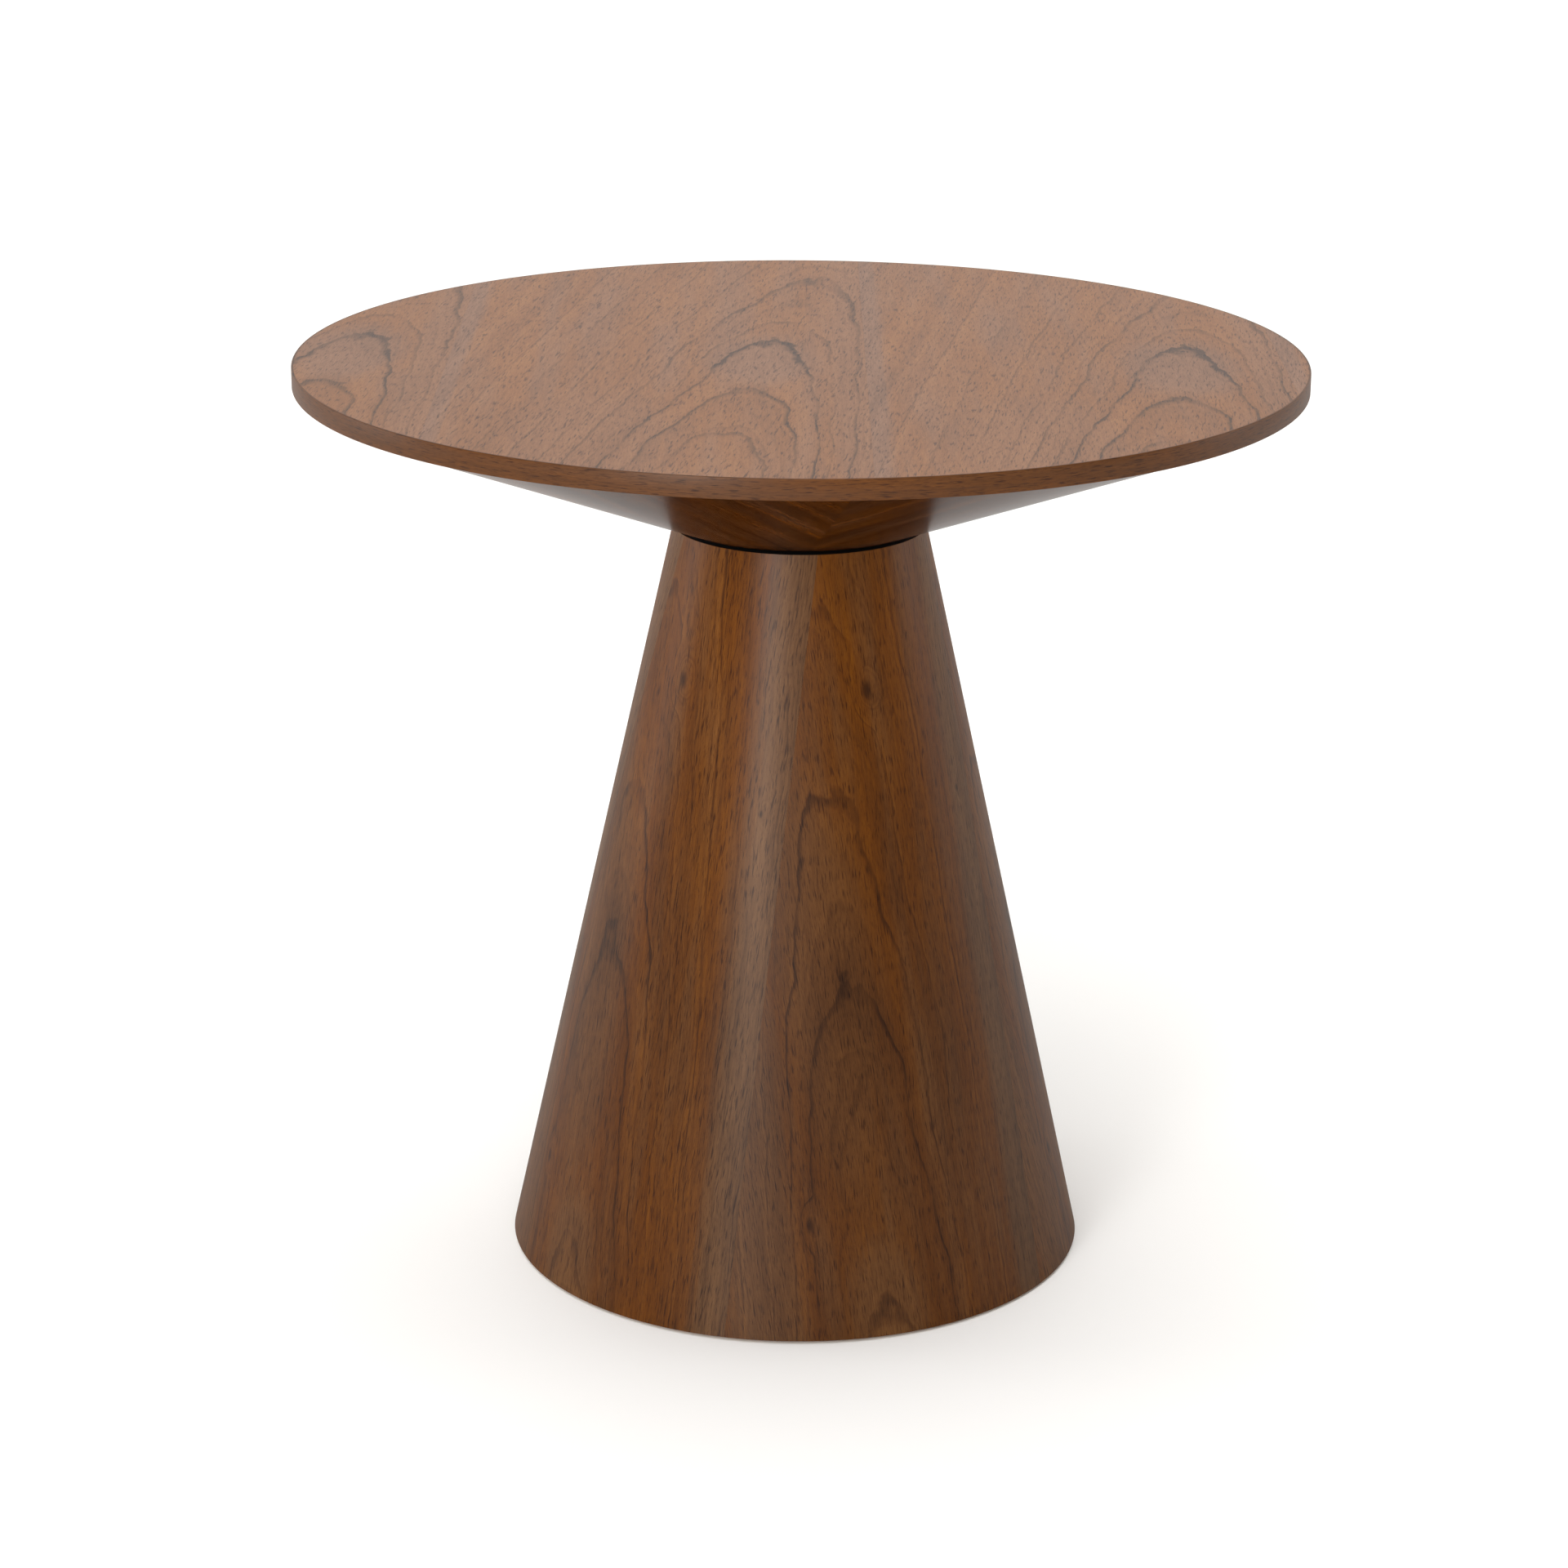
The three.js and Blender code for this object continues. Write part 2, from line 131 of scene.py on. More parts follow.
# ---- the veneer's tone leaf by leaf, and painted shade at the cone's front and the pedestal's foot ---
# each underside wedge's tone; the two front wedges are far darker as painted shade under the top
CONE_TONES_AND_PAINTED_SHADE = (-0.45, 0.1, 0.12, 0.0, -0.1, 0.0, 0.1, -0.38)
PEDESTAL_SHADES = (-0.03, 0.04, -0.05, 0.02, 0.03)
# painted shade: from this far down the unrolled cone, over this length, the pedestal is drawn
# darker towards its foot
PEDESTAL_PAINTED_SHADE_START = 400 * MM
PEDESTAL_PAINTED_SHADE_LENGTH = 220 * MM
PEDESTAL_FOOT_PAINTED_SHADE = 0.34
CONE_LEAVES_APART = 7  # how many leaves further into the log each wedge's figure is taken

# ---- fineness of the meshes ---------------------------------------------------------------------
ROUND_SIDES = 360
SMALL_SIDES = 48
CORNER_STEPS = 4
CONE_ROWS = 13
PEDESTAL_ROWS = 61
SHELL_ROWS = 31
OUTLINE_STEP = 1.5 * MM
MIN_OUTLINE_STEPS = 8
SAME_POINT = 1e-7
SHARP = math.radians(30)


# ---- measures taken from the CAD model ----------------------------------------------------------
def node_points(*names):
    """The corner points of CAD nodes at rest."""
    return np.vstack([[v.co[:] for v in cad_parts[n].data.vertices] for n in names])


class Cone:
    """A tapered body, as the straight line of its finished surface."""

    def __init__(self, *nodes):
        points = node_points(*nodes)
        radius = np.hypot(points[:, 0], points[:, 1])
        height = points[:, 2]
        self.bottom_z = height.min()
        self.top_z = height.max()
        self.bottom_radius = radius[height < self.bottom_z + HAIRLINE].max()
        self.top_radius = radius[height > self.top_z - HAIRLINE].max()
        self.height = self.top_z - self.bottom_z
        self.spread = self.top_radius - self.bottom_radius
        self.slant = math.hypot(self.height, self.spread)
        self.sine = abs(self.spread) / self.slant

    def radius(self, z, depth=0.0):
        """The radius at height z of a surface that lies depth inside the finished one."""
        level = (z - self.bottom_z) / self.height
        return self.bottom_radius + self.spread * level - depth * self.slant / self.height

    def flat(self, azimuth, z, axis):
        """Where a point lies on the unrolled cone: across and along a line at azimuth axis."""
        reach = self.radius(z) / self.sine
        turn = (azimuth - axis) * self.sine
        return reach * np.sin(turn), reach * np.cos(turn)


def on_circle(radius, azimuth):
    """The x and y of points at a radius and azimuth."""
    return radius * np.sin(azimuth), -radius * np.cos(azimuth)


# ---- shader graphs ------------------------------------------------------------------------------
class Value:
    """A number or colour at each point of a surface, with arithmetic that adds math nodes."""

    def __init__(self, graph, socket):
        self.graph = graph
        self.socket = socket

    def math(self, operation, *others):
        inputs = dict(enumerate((self, *others)))
        return self.graph.add("ShaderNodeMath", inputs, operation=operation)

    def __add__(self, other):
        return self.math("ADD", other)

    def __sub__(self, other):
        return self.math("SUBTRACT", other)

    def __mul__(self, other):
        return self.math("MULTIPLY", other)

    def __truediv__(self, other):
        return self.math("DIVIDE", other)

    def __rsub__(self, other):
        return self.math("MULTIPLY_ADD", -1.0, other)

    __radd__ = __add__

    def length(self, other):
        return (self * self + other * other).math("SQRT")

    def fraction(self):
        return self.math("FRACT")

    def step(self, low, high):
        """0 below low, 1 above high and a smooth rise between. It falls if low is above high."""
        inputs = {"Value": self, "From Min": low, "From Max": high}
        return self.graph.add("ShaderNodeMapRange", inputs, interpolation_type="SMOOTHSTEP")


class Graph:
    """The node tree of one material. Its methods add nodes and give back their outputs."""

    def __init__(self, name):
        self.material = bpy.data.materials.new(name)
        self.material.use_nodes = True
        self.tree = self.material.node_tree
        self.tree.nodes.clear()

    @classmethod
    def of_world(cls, world):
        g = cls.__new__(cls)
        g.tree = world.node_tree
        g.tree.nodes.clear()
        return g

    def add(self, kind, inputs=None, output=0, **settings):
        node = self.tree.nodes.new(kind)
        for key, setting in settings.items():
            setattr(node, key, setting)
        for socket, value in (inputs or {}).items():
            self.join(node.inputs[socket], value)
        return Value(self, node.outputs[output]) if len(node.outputs) else None

    def join(self, socket, value):
        if isinstance(value, Value):
            self.tree.links.new(value.socket, socket)
        else:
            socket.default_value = value

    def attribute(self, name):
        """The three parts of a mesh attribute that is in metres, in millimetres."""
        place = self.add("ShaderNodeAttribute", output="Vector", attribute_name=name)
        return [part / MM for part in self.parts(place)]

    def place(self):
        """The point's own place in its piece, in millimetres."""
        place = self.add("ShaderNodeTexCoord", output="Object")
        return [part / MM for part in self.parts(place)]

    def parts(self, vector):
        split = self.add("ShaderNodeSeparateXYZ", {0: vector})
        return [Value(self, out) for out in split.socket.node.outputs]

    def vector(self, x, y, z):
        return self.add("ShaderNodeCombineXYZ", {0: x, 1: y, 2: z})

    def noise(self, vector, detail=2.0, roughness=0.5):
        """Smooth noise about 0, with features about one unit wide."""
        inputs = {"Vector": vector, "Scale": 1.0, "Detail": detail, "Roughness": roughness}
        return self.add("ShaderNodeTexNoise", inputs) - 0.5

    def noise_along(self, value, detail=2.0, roughness=0.5):
        """Smooth noise about 0 that depends on one number alone."""
        inputs = {"W": value, "Scale": 1.0, "Detail": detail, "Roughness": roughness}
        return self.add("ShaderNodeTexNoise", inputs, noise_dimensions="1D") - 0.5

    def specks(self, vector, size):
        """1 in scattered specks of that radius in a space with one speck a unit, else 0."""
        inputs = {"Vector": vector, "Scale": 1.0}
        return self.add("ShaderNodeTexVoronoi", inputs).step(size, 0.5 * size)

    def mix(self, share, first, second):
        """first where share is 0 and second where it is 1."""
        inputs = {0: share, 6: first, 7: second}
        return self.add("ShaderNodeMix", inputs, output=2, data_type="RGBA")

    def tint(self, share, base, layer):
        """base multiplied by layer where share is 1."""
        inputs = {0: share, 6: base, 7: layer}
        return self.add(
            "ShaderNodeMix", inputs, output=2, data_type="RGBA", blend_type="MULTIPLY",
        )

    def ramp(self, value, stops):
        """A colour ramp from (place, colour) pairs, the first at 0 and the last at 1."""
        colour = self.add("ShaderNodeValToRGB", {0: value})
        elements = colour.socket.node.color_ramp.elements
        elements[0].color = stops[0][1]
        elements[1].color = stops[-1][1]
        for place, tone in stops[1:-1]:
            elements.new(place).color = tone
        return colour

    def bump(self, height, depth):
        """A normal from a height between 0 and 1 that stands for that depth."""
        inputs = {"Height": height, "Distance": depth, "Strength": 1.0}
        return self.add("ShaderNodeBump", inputs)

    def finish(self, **surface):
        """Ends the graph in a Principled shader. Names such as Coat_Weight are its sockets."""
        inputs = {name.replace("_", " "): value for name, value in surface.items()}
        shader = self.add("ShaderNodeBsdfPrincipled", inputs)
        self.add("ShaderNodeOutputMaterial", {"Surface": shader})
        return self.material


def srgb(code):
    """A linear colour from a web colour code."""
    parts = [int(code[i : i + 2], 16) / 255 for i in (0, 2, 4)]
    return [p / 12.92 if p <= 0.04045 else ((p + 0.055) / 1.055) ** 2.4 for p in parts] + [1.0]


# ---- walnut -------------------------------------------------------------------------------------
# A flat-cut leaf crosses the log's growth rings at a slant, so the rings show as nested arches.
# axis and lean place the arches' centre line across the leaf. ring is the radius, in mm, of the
# growth ring whose arch ends at peak along the leaf, and taper is how fast the rings close.
# lines are the rings with dark late wood, each with its radius and how dark it is, and late is the
# width of that wood. waves and scallop are how much the rings wander and how jagged they are.
# u runs across the leaf, v along it and w through the log, all in mm. Noise is looked up at u and
# v divided by the size of its features that way, and an offset on w keeps two noises apart.
CROWN_TOP = {
    "axis": 70.0, "lean": 0.114, "peak": 35.0, "ring": 80.0, "taper": 0.079, "waves": 0.8,
    "scallop": 1.4, "late": 1.5,
    "lines": (
        (62.0, 0.6), (71.3, 0.9), (80.0, 1.0), (85.6, 0.6), (95.0, 0.7), (107.0, 0.5),
        (124.0, 0.6), (143.0, 0.5), (166.0, 0.5),
    ),
}
CROWN_PEDESTAL = {
    "axis": -62.0, "lean": -0.03, "peak": 490.0, "ring": 76.0, "taper": -0.075, "waves": 1.05,
    "scallop": 0.8, "late": 1.0,
    "lines": (
        (54.0, 0.9), (61.0, 0.4), (68.7, 0.9), (76.0, 1.0), (85.3, 0.8), (91.5, 0.5),
        (101.0, 0.8), (113.0, 0.5), (131.0, 0.5),
    ),
}
CROWN_CONE = {
    "axis": -210.0, "lean": 0.02, "peak": 200.0, "ring": 90.0, "taper": 0.03, "waves": 0.9,
    "scallop": 0.8, "late": 2.5,
    "lines": ((190.0, 0.7), (204.0, 1.0), (221.0, 0.8), (229.0, 0.6), (246.0, 1.0), (262.0, 0.7)),
}
CROWN_BAND = {
    "axis": -160.0, "lean": 0.0006, "peak": 0.0, "ring": 60.0, "taper": 0.002, "waves": 0.35,
    "scallop": 0.6, "late": 1.0,
    "lines": ((168.0, 0.8), (171.5, 0.6), (174.0, 1.0)),
}

PORE_DEPTH = 0.1 * MM
PORE_TINT = "7a6254"
KNOT_TINT = "5e4a3c"
KNOT_LENGTH = 1.9  # how much longer a knot's mark is than wide

SATIN = {
    "Specular_IOR_Level": 0.0,
    "Coat_Weight": 0.42,
    "Coat_Roughness": 0.34,
    "Coat_IOR": 1.5,
}


def growth_rings(g, u, v, w, crown):
    """The radius of the growth ring at each point of a leaf, and the place across its grain."""
    slow = g.noise(g.vector(u / 90, v / 150, w / 9), detail=1.0)
    quick = g.noise(g.vector(u / 24, v / 48, w / 9 + 7), detail=2.0)
    scallop = g.noise(g.vector(u / 6, v / 9, w / 9 + 3), detail=2.0, roughness=0.6)
    across = u - crown["axis"] - (v - crown["peak"]) * crown["lean"]
    depth = (v - crown["peak"]) * crown["taper"] + crown["ring"]
    ring = across.length(depth)
    wander = (slow * 9 + quick * 5.5) * crown["waves"]
    return ring + wander + scallop * crown["scallop"], across + wander * 0.6


def late_wood(g, ring, crown):
    """Dark lines where the rings end: sharp on the bark side and fading towards the pith."""
    fade = g.noise_along(ring / 3 + 40, detail=1.0).step(-0.1, 0.2)
    phase = (ring / 2.9).fraction()
    lines = phase.step(0.5, 0.95) * phase.step(1.0, 0.95) * (fade * 0.22 + 0.06)
    for radius, darkness in crown["lines"]:
        past = ring - radius
        line = past.step(-crown["late"], -0.1) * past.step(0.35, 0.0) * darkness
        lines = lines.math("MAXIMUM", line)
    return lines


def knot_distance(u, v, knot):
    """The distance from a knot's middle, in knot sizes.

    A knot is (u, v, size, lift), where lift is how far it pushes the rings, in mm.
    """
    knot_u, knot_v, size, _ = knot
    return ((u - knot_u) / size).length((v - knot_v) / (KNOT_LENGTH * size))


def dullness_and_sheen(g, u, v, w, zones, streak, cloud):
    """How grey the wood is drawn, in streaks along the leaf and in zones that are duller; one zone
    on the pedestal is partly a painted highlight.

    A zone is (u, v, reach across, reach along, share of grey).
    """
    dull_and_sheen = g.noise(g.vector(u / 16, v / 200, w + 8), detail=2.0).step(-0.15, 0.3) * 0.6
    for zone_u, zone_v, reach_u, reach_v, share in zones:
        away = ((u - zone_u) / reach_u).length((v - zone_v) / reach_v)
        ragged = away + streak * 0.45 + cloud * 0.4
        dull_and_sheen = dull_and_sheen.math("MAXIMUM", ragged.step(1.15, 0.5) * share)
    return dull_and_sheen


def pore_marks(g, across, v, w, width):
    """How much of a pore each point is: dashes along the grain, and smaller, fainter pits."""
    dashes = g.noise(g.vector(across / width, v / 10, w + 1), detail=1.5).step(0.06, 0.2)
    pits = g.specks(g.vector(across / (0.7 * width), v / 6, w), 0.26)
    return dashes.math("MAXIMUM", pits * 0.7)


def walnut(
    name, crown, browns, greys, figure=1.0, lines=0.4, pore=0.75, knots=(), zones=(), **gloss,
):
    """Walnut veneer under satin lacquer.

    browns are the wood's colours from the darkest up, and greys the duller ones of the zones.
    figure and lines are the contrast of the broad bands and of the late wood's dark lines, and
    pore is how wide the pores are, in mm. gloss holds the lacquer's sockets, and a value there may
    be a function that adds its nodes to the graph.
    """
    g = Graph(name)
    u, v, w = g.attribute(SHEET)
    shade = g.add("ShaderNodeAttribute", output="Fac", attribute_name=SHADE)
    ring, across = growth_rings(g, u, v, w, crown)
    for knot in knots:
        lift = knot[-1]
        ring = ring + knot_distance(u, v, knot).step(1.6, 0.0) * lift

    line = late_wood(g, ring, crown)
    line = line * (g.noise(g.vector(u / 22, v / 60, w + 2)).step(-0.22, 0.1) * 0.75 + 0.25)
    broad = g.noise_along(ring / 12 + 11, detail=2.0, roughness=0.55)
    fine = g.noise_along(ring / 1.3 + 90, detail=2.0, roughness=0.6)
    cloud = g.noise(g.vector(u / 30, v / 120, w), detail=3.0)
    streak = g.noise(g.vector(u / 2.4, v / 90, w + 5), detail=3.0, roughness=0.6)
    fibre = g.noise(g.vector(u / 0.7, v / 13, w), detail=3.0, roughness=0.65)
    tone = (
        (broad * 0.42 + cloud * 0.34 + streak * 0.3 + fine * 0.16) * figure
        + fibre * 0.62 - line * lines + 0.55
    )
    dull_and_sheen = dullness_and_sheen(g, u, v, w, zones, streak, cloud)
    colour = g.mix(dull_and_sheen, g.ramp(tone, browns), g.ramp(tone, greys))
    for knot in knots:
        heart = (knot_distance(u, v, knot) + cloud * 0.3 + fibre * 0.2).step(0.5, 0.1)
        colour = g.tint(heart * 0.7, colour, srgb(KNOT_TINT))

    pores = pore_marks(g, across, v, w, pore)
    colour = g.tint(pores * 0.75, colour, srgb(PORE_TINT))
    # the shade attribute scales the colour: each leaf's tone, and painted shade on the cone's front
    # and towards the pedestal's foot
    colour = g.tint(1.0, colour, shade + 1.0)
    relief = 1.0 - pores * 0.8 + fibre * 0.4
    gloss = {socket: value(g) if callable(value) else value for socket, value in gloss.items()}
    return g.finish(
        Base_Color=colour,
        Roughness=0.46 + fibre * 0.12 + pores * 0.2,
        Normal=g.bump(relief, PORE_DEPTH),
        **gloss,
    )


def palette(*codes):
    """Evenly spread colours, from dark to light."""
    last = len(codes) - 1
    return [(i / last, srgb(code)) for i, code in enumerate(codes)]


def top_walnut():
    browns = palette("43280f", "66401f", "7b4e2a", "8a5c34", "a06e40")
    greys = palette("40291b", "5f422f", "74523d", "83604a", "96745c")
    zones = [
        (62, -10, 42, 90, 0.8),
        (-123, 0, 14, 900, 0.9),
        (118, 0, 22, 500, 0.5),
        (-30, -220, 60, 160, 0.4),
    ]
    return walnut(
        "walnut_top", CROWN_TOP, browns, greys, figure=0.8, lines=0.55, pore=0.95, zones=zones,
        **SATIN,
    )


def pedestal_walnut():
    browns = palette("281103", "452304", "5e3206", "714009", "875115")
    greys = palette("26160b", "432a17", "5d3e24", "704e30", "886542")
    knots = [
        (-28, 431, 9, 9.0),
        (-110, 739, 7, -7.0),
        (35, 502, 4, 5.0),
    ]
    zones = [
        # partly duller wood, partly a painted highlight: this grey strip along each leaf's right
        # seam runs under the front strip's reflection on the front-left leaf
        (44, 590, 22, 700, 0.9),
        (-142, 600, 30, 700, 0.6),
        (-78, 600, 34, 160, 0.5),
        (-70, 800, 30, 60, 0.6),
    ]
    return walnut(
        "walnut_pedestal", CROWN_PEDESTAL, browns, greys, lines=0.34, knots=knots, zones=zones,
        **{**SATIN, "Coat_Weight": 0.31},
    )


def grazing_coat(g):
    """Lacquer rubbed so thin that it mirrors only along the surface."""
    facing = g.add("ShaderNodeLayerWeight", {"Blend": 0.5}, output="Facing")
    return facing.step(0.84, 0.99) * 0.5 + 0.12


def cone_walnut():
    # the browns are darker than the other walnuts': partly the leaves' own tone, partly painted
    # shade on the cone that faces the floor
    browns = palette("220c00", "3c1b02", "542a05", "74420f")
    greys = palette("22120a", "3a2314", "503524", "6c4a34")
    gloss = {**SATIN, "Coat_Weight": grazing_coat, "Coat_Roughness": 0.24}
    return walnut("walnut_underside", CROWN_CONE, browns, greys, figure=1.8, **gloss)


def band_walnut():
    browns = palette("2c1402", "45260a", "5b330c", "7e4d1c")
    greys = palette("2c1a0f", "432b1c", "573b28", "74543c")
    return walnut("walnut_band", CROWN_BAND, browns, greys, **SATIN)


# ---- the other materials ------------------------------------------------------------------------
GAP_SHADE_BLACK = "0a0807"
GAP_SHADE_REACH = 0.6  # mm past the spacer where the painted shade ends
GAP_SHADE_FULL = 0.2  # mm past the spacer up to where the painted shade is full


def neck_gap_painted_shade(z):
    """1 on the faces that show in the shadow gap at the neck, which are drawn black as painted
    shade.
    """
    low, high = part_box("neck_spacer")
    low_z, high_z = low.z / MM, high.z / MM
    above = z.step(low_z - GAP_SHADE_REACH, low_z - GAP_SHADE_FULL)
    below = z.step(high_z + GAP_SHADE_REACH, high_z + GAP_SHADE_FULL)
    return above * below


def fibreboard(name, light, dark, roughness):
    """Compressed wood fibre: short pale and dark fibres on an even ground."""
    g = Graph(name)
    x, y, z = g.place()
    fibres = g.noise(g.vector(x / 0.9, y / 0.9, z / 0.4), detail=4.0, roughness=0.7)
    cloud = g.noise(g.vector(x / 30, y / 30, z / 12), detail=3.0)
    flecks = g.specks(g.vector(x / 2.2, y / 2.2, z / 1.1), 0.16)
    colour = g.mix((fibres + cloud * 0.6).step(-0.35, 0.35), srgb(dark), srgb(light))
    colour = g.tint(flecks * 0.5, colour, srgb("8a7460"))
    # painted shade: black on the faces in the neck's shadow gap
    colour = g.mix(neck_gap_painted_shade(z), colour, srgb(GAP_SHADE_BLACK))
    height = fibres + 0.5
    return g.finish(
        Base_Color=colour, Roughness=roughness, Normal=g.bump(height, 0.08 * MM),
    )


def mdf():
    return fibreboard("mdf", "b89b74", "8e7351", 0.85)


def black_mdf():
    return fibreboard("black_mdf", "1b1817", "0d0b0a", 0.7)


def bent_plywood():
    """Plywood of the pedestal's shells, with its grain running up."""
    g = Graph("plywood")
    return plywood(g, *g.attribute(SHEET))


def rib_plywood():
    """Plywood of the ribs and shell under the top, with its grain running outward."""
    g = Graph("plywood_rib")
    x, y, z = g.place()
    return plywood(g, z, x.length(y), z * 0.0)


def plywood(g, u, v, w):
    """Birch plywood: rotary-cut faces, and plies that show where w changes."""
    slow = g.noise(g.vector(u / 60, v / 180, 1.0), detail=2.0)
    grain = g.noise_along(u / 7 + slow * 9, detail=3.0, roughness=0.6)
    fibre = g.noise(g.vector(u / 0.8, v / 22, 4.0), detail=3.0)
    face = g.mix((grain + fibre * 0.5).step(-0.3, 0.35), srgb("a9845a"), srgb("d3b286"))
    plies = (w / 2.6).fraction().step(0.46, 0.54)
    edge = g.tint(plies * 0.55, face, srgb("9a7048"))
    _, _, height = g.place()
    # painted shade: black on the faces in the neck's shadow gap
    colour = g.mix(neck_gap_painted_shade(height), edge, srgb(GAP_SHADE_BLACK))
    return g.finish(
        Base_Color=colour, Roughness=0.62 + fibre * 0.1, Normal=g.bump(fibre + 0.5, 0.04 * MM),
    )


def backer_veneer():
    """Plain straight-grained veneer on the underside of the top's core."""
    g = Graph("backer_veneer")
    x, y, _ = g.place()
    grain = g.noise(g.vector(x / 3, y / 120, 2.0), detail=4.0, roughness=0.6)
    colour = g.mix(grain.step(-0.3, 0.3), srgb("8c6a47"), srgb("b08d62"))
    return g.finish(
        Base_Color=colour, Roughness=0.6 + grain * 0.1, Normal=g.bump(grain + 0.5, 0.03 * MM),
    )


def metal(name, light, dark, roughness):
    """Plated steel or brass, with slight blotches and fine turning marks."""
    g = Graph(name)
    x, y, z = g.place()
    blotch = g.noise(g.vector(x / 2.5, y / 2.5, z / 2.5), detail=3.0)
    marks = g.noise(g.vector(x / 9, y / 9, z / 0.12), detail=2.0)
    colour = g.mix(blotch.step(-0.3, 0.3), srgb(dark), srgb(light))
    return g.finish(
        Base_Color=colour, Metallic=1.0,
        Roughness=roughness + blotch * 0.15,
        Normal=g.bump(marks + 0.5, 0.01 * MM),
    )


def zinc_steel():
    return metal("zinc_steel", "c3c6cb", "9da0a6", 0.32)


def insert_brass():
    return metal("insert_brass", "c9a75a", "a3843f", 0.34)


def nylon():
    """Black moulded nylon with a fine spark-eroded texture."""
    g = Graph("glide_nylon")
    x, y, z = g.place()
    texture = g.noise(g.vector(x / 0.35, y / 0.35, z / 0.35), detail=3.0)
    wear = g.noise(g.vector(x / 5, y / 5, z / 5), detail=2.0)
    colour = g.mix(wear.step(-0.3, 0.3), srgb("19191b"), srgb("262628"))
    return g.finish(
        Base_Color=colour, Roughness=0.5 + wear * 0.2, Normal=g.bump(texture + 0.5, 0.03 * MM),
    )


def floor_paint():
    g = Graph("pale_floor")
    x, y, _ = g.place()
    cloud = g.noise(g.vector(x / 900, y / 900, 0.0), detail=2.0)
    colour = g.mix(cloud.step(-0.4, 0.4), srgb("f0efed"), srgb("f6f5f4"))
    return g.finish(Base_Color=colour, Roughness=0.75, Specular_IOR_Level=0.2)


MATERIALS = {
    "walnut_top_veneer": top_walnut(),
    "walnut_edge_band": band_walnut(),
    "walnut_underside_veneer": cone_walnut(),
    "walnut_pedestal_veneer": pedestal_walnut(),
    "backer_veneer": backer_veneer(),
    "mdf": mdf(),
    "plywood": bent_plywood(),
    "black_mdf": black_mdf(),
    "zinc_steel": zinc_steel(),
    "insert_brass": insert_brass(),
    "glide_nylon": nylon(),
}


# ---- meshes -------------------------------------------------------------------------------------
def make_piece(name, points, faces, slot, replaced, body=TABLE, sheet=None, shade=None):
    """A piece from its mesh, in the finish of a material slot, standing for CAD nodes.

    sheet holds each point's place on the flat leaf, and shade how much lighter the wood is drawn
    there: the leaf's tone, and painted shade on the cone's front wedges and towards the pedestal's
    foot.
    """
    mesh = bpy.data.meshes.new(name)
    mesh.from_pydata([tuple(p) for p in points], [], [tuple(int(i) for i in f) for f in faces])
    mesh.validate()
    smooth(mesh)
    if shade is not None:
        attribute = mesh.attributes.new(SHADE, "FLOAT", "POINT")
        attribute.data.foreach_set("value", np.broadcast_to(shade, len(points)).astype(np.float32))
    if sheet is not None:
        attribute = mesh.attributes.new(SHEET, "FLOAT_VECTOR", "POINT")
        attribute.data.foreach_set("vector", np.asarray(sheet, np.float32).ravel())
    mesh.materials.append(MATERIALS[slot])
    obj = bpy.data.objects.new(name, mesh)
    bpy.context.scene.collection.objects.link(obj)
    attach(obj, body)
    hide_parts(*replaced)
    return obj


def grid_faces(rows, columns, offset=0, flip=False):
    """Quads over a grid of points that was numbered row by row."""
    faces = []
    for i in range(rows - 1):
        for j in range(columns - 1):
            a = offset + i * columns + j
            quad = (a, a + 1, a + columns + 1, a + columns)
            faces.append(quad[::-1] if flip else quad)
    return faces


def bent_sheet(cone, outer, inner, start_at, end_at, columns, rows, axis):
    """Points, faces and flat-sheet coordinates of a sheet bent onto a cone."""
    z = np.linspace(cone.bottom_z, cone.top_z, rows)[:, None]
    share = np.linspace(0, 1, columns)[None, :]
    gap = HAIRLINE / 2 / cone.radius(z)
    start = start_at(z) + gap
    azimuth = start + (end_at(z) - gap - start) * share
    height = np.broadcast_to(z, azimuth.shape)
    across, along = cone.flat(azimuth, z, axis)
    points, sheet = [], []
    for depth in (outer, inner):
        x, y = on_circle(cone.radius(z, depth), azimuth)
        points.append(np.stack([x, y, height], axis=-1).reshape(-1, 3))
        level = np.full(across.shape, depth)
        sheet.append(np.stack([across, along, level], axis=-1).reshape(-1, 3))
    count = rows * columns
    faces = grid_faces(rows, columns) + grid_faces(rows, columns, count, flip=True)
    border = list(range(columns))
    border += [(i + 1) * columns - 1 for i in range(1, rows)]
    border += [(rows - 1) * columns + j for j in range(columns - 2, -1, -1)]
    border += [i * columns for i in range(rows - 2, 0, -1)]
    for a, b in zip(border, border[1:] + border[:1]):
        faces.append((b, a, a + count, b + count))
    return np.vstack(points), faces, np.vstack(sheet)


def revolved(rows, sides, centre=(0.0, 0.0), closed=False):
    """Points and faces of a turned body from (radius, z) rows, bottom first on the outside.

    A radius may be an array with one value for each side. Open outlines start and end on the axis.
    """
    azimuth = np.arange(sides) * 2 * math.pi / sides
    points, rings = [], []
    for radius, z in rows:
        if np.ndim(radius) == 0 and radius == 0:
            rings.append([len(points)] * sides)
            points.append((*centre, z))
            continue
        x, y = on_circle(np.broadcast_to(radius, (sides,)), azimuth)
        rings.append(list(range(len(points), len(points) + sides)))
        points += [(centre[0] + a, centre[1] + b, z) for a, b in zip(x, y)]
    faces = []
    next_rings = rings[1:] + rings[:1] if closed else rings[1:]
    for low, high in zip(rings, next_rings):
        for j in range(sides):
            k = (j + 1) % sides
            quad = [low[j], low[k], high[k], high[j]]
            faces.append(list(dict.fromkeys(quad)))
    return points, faces


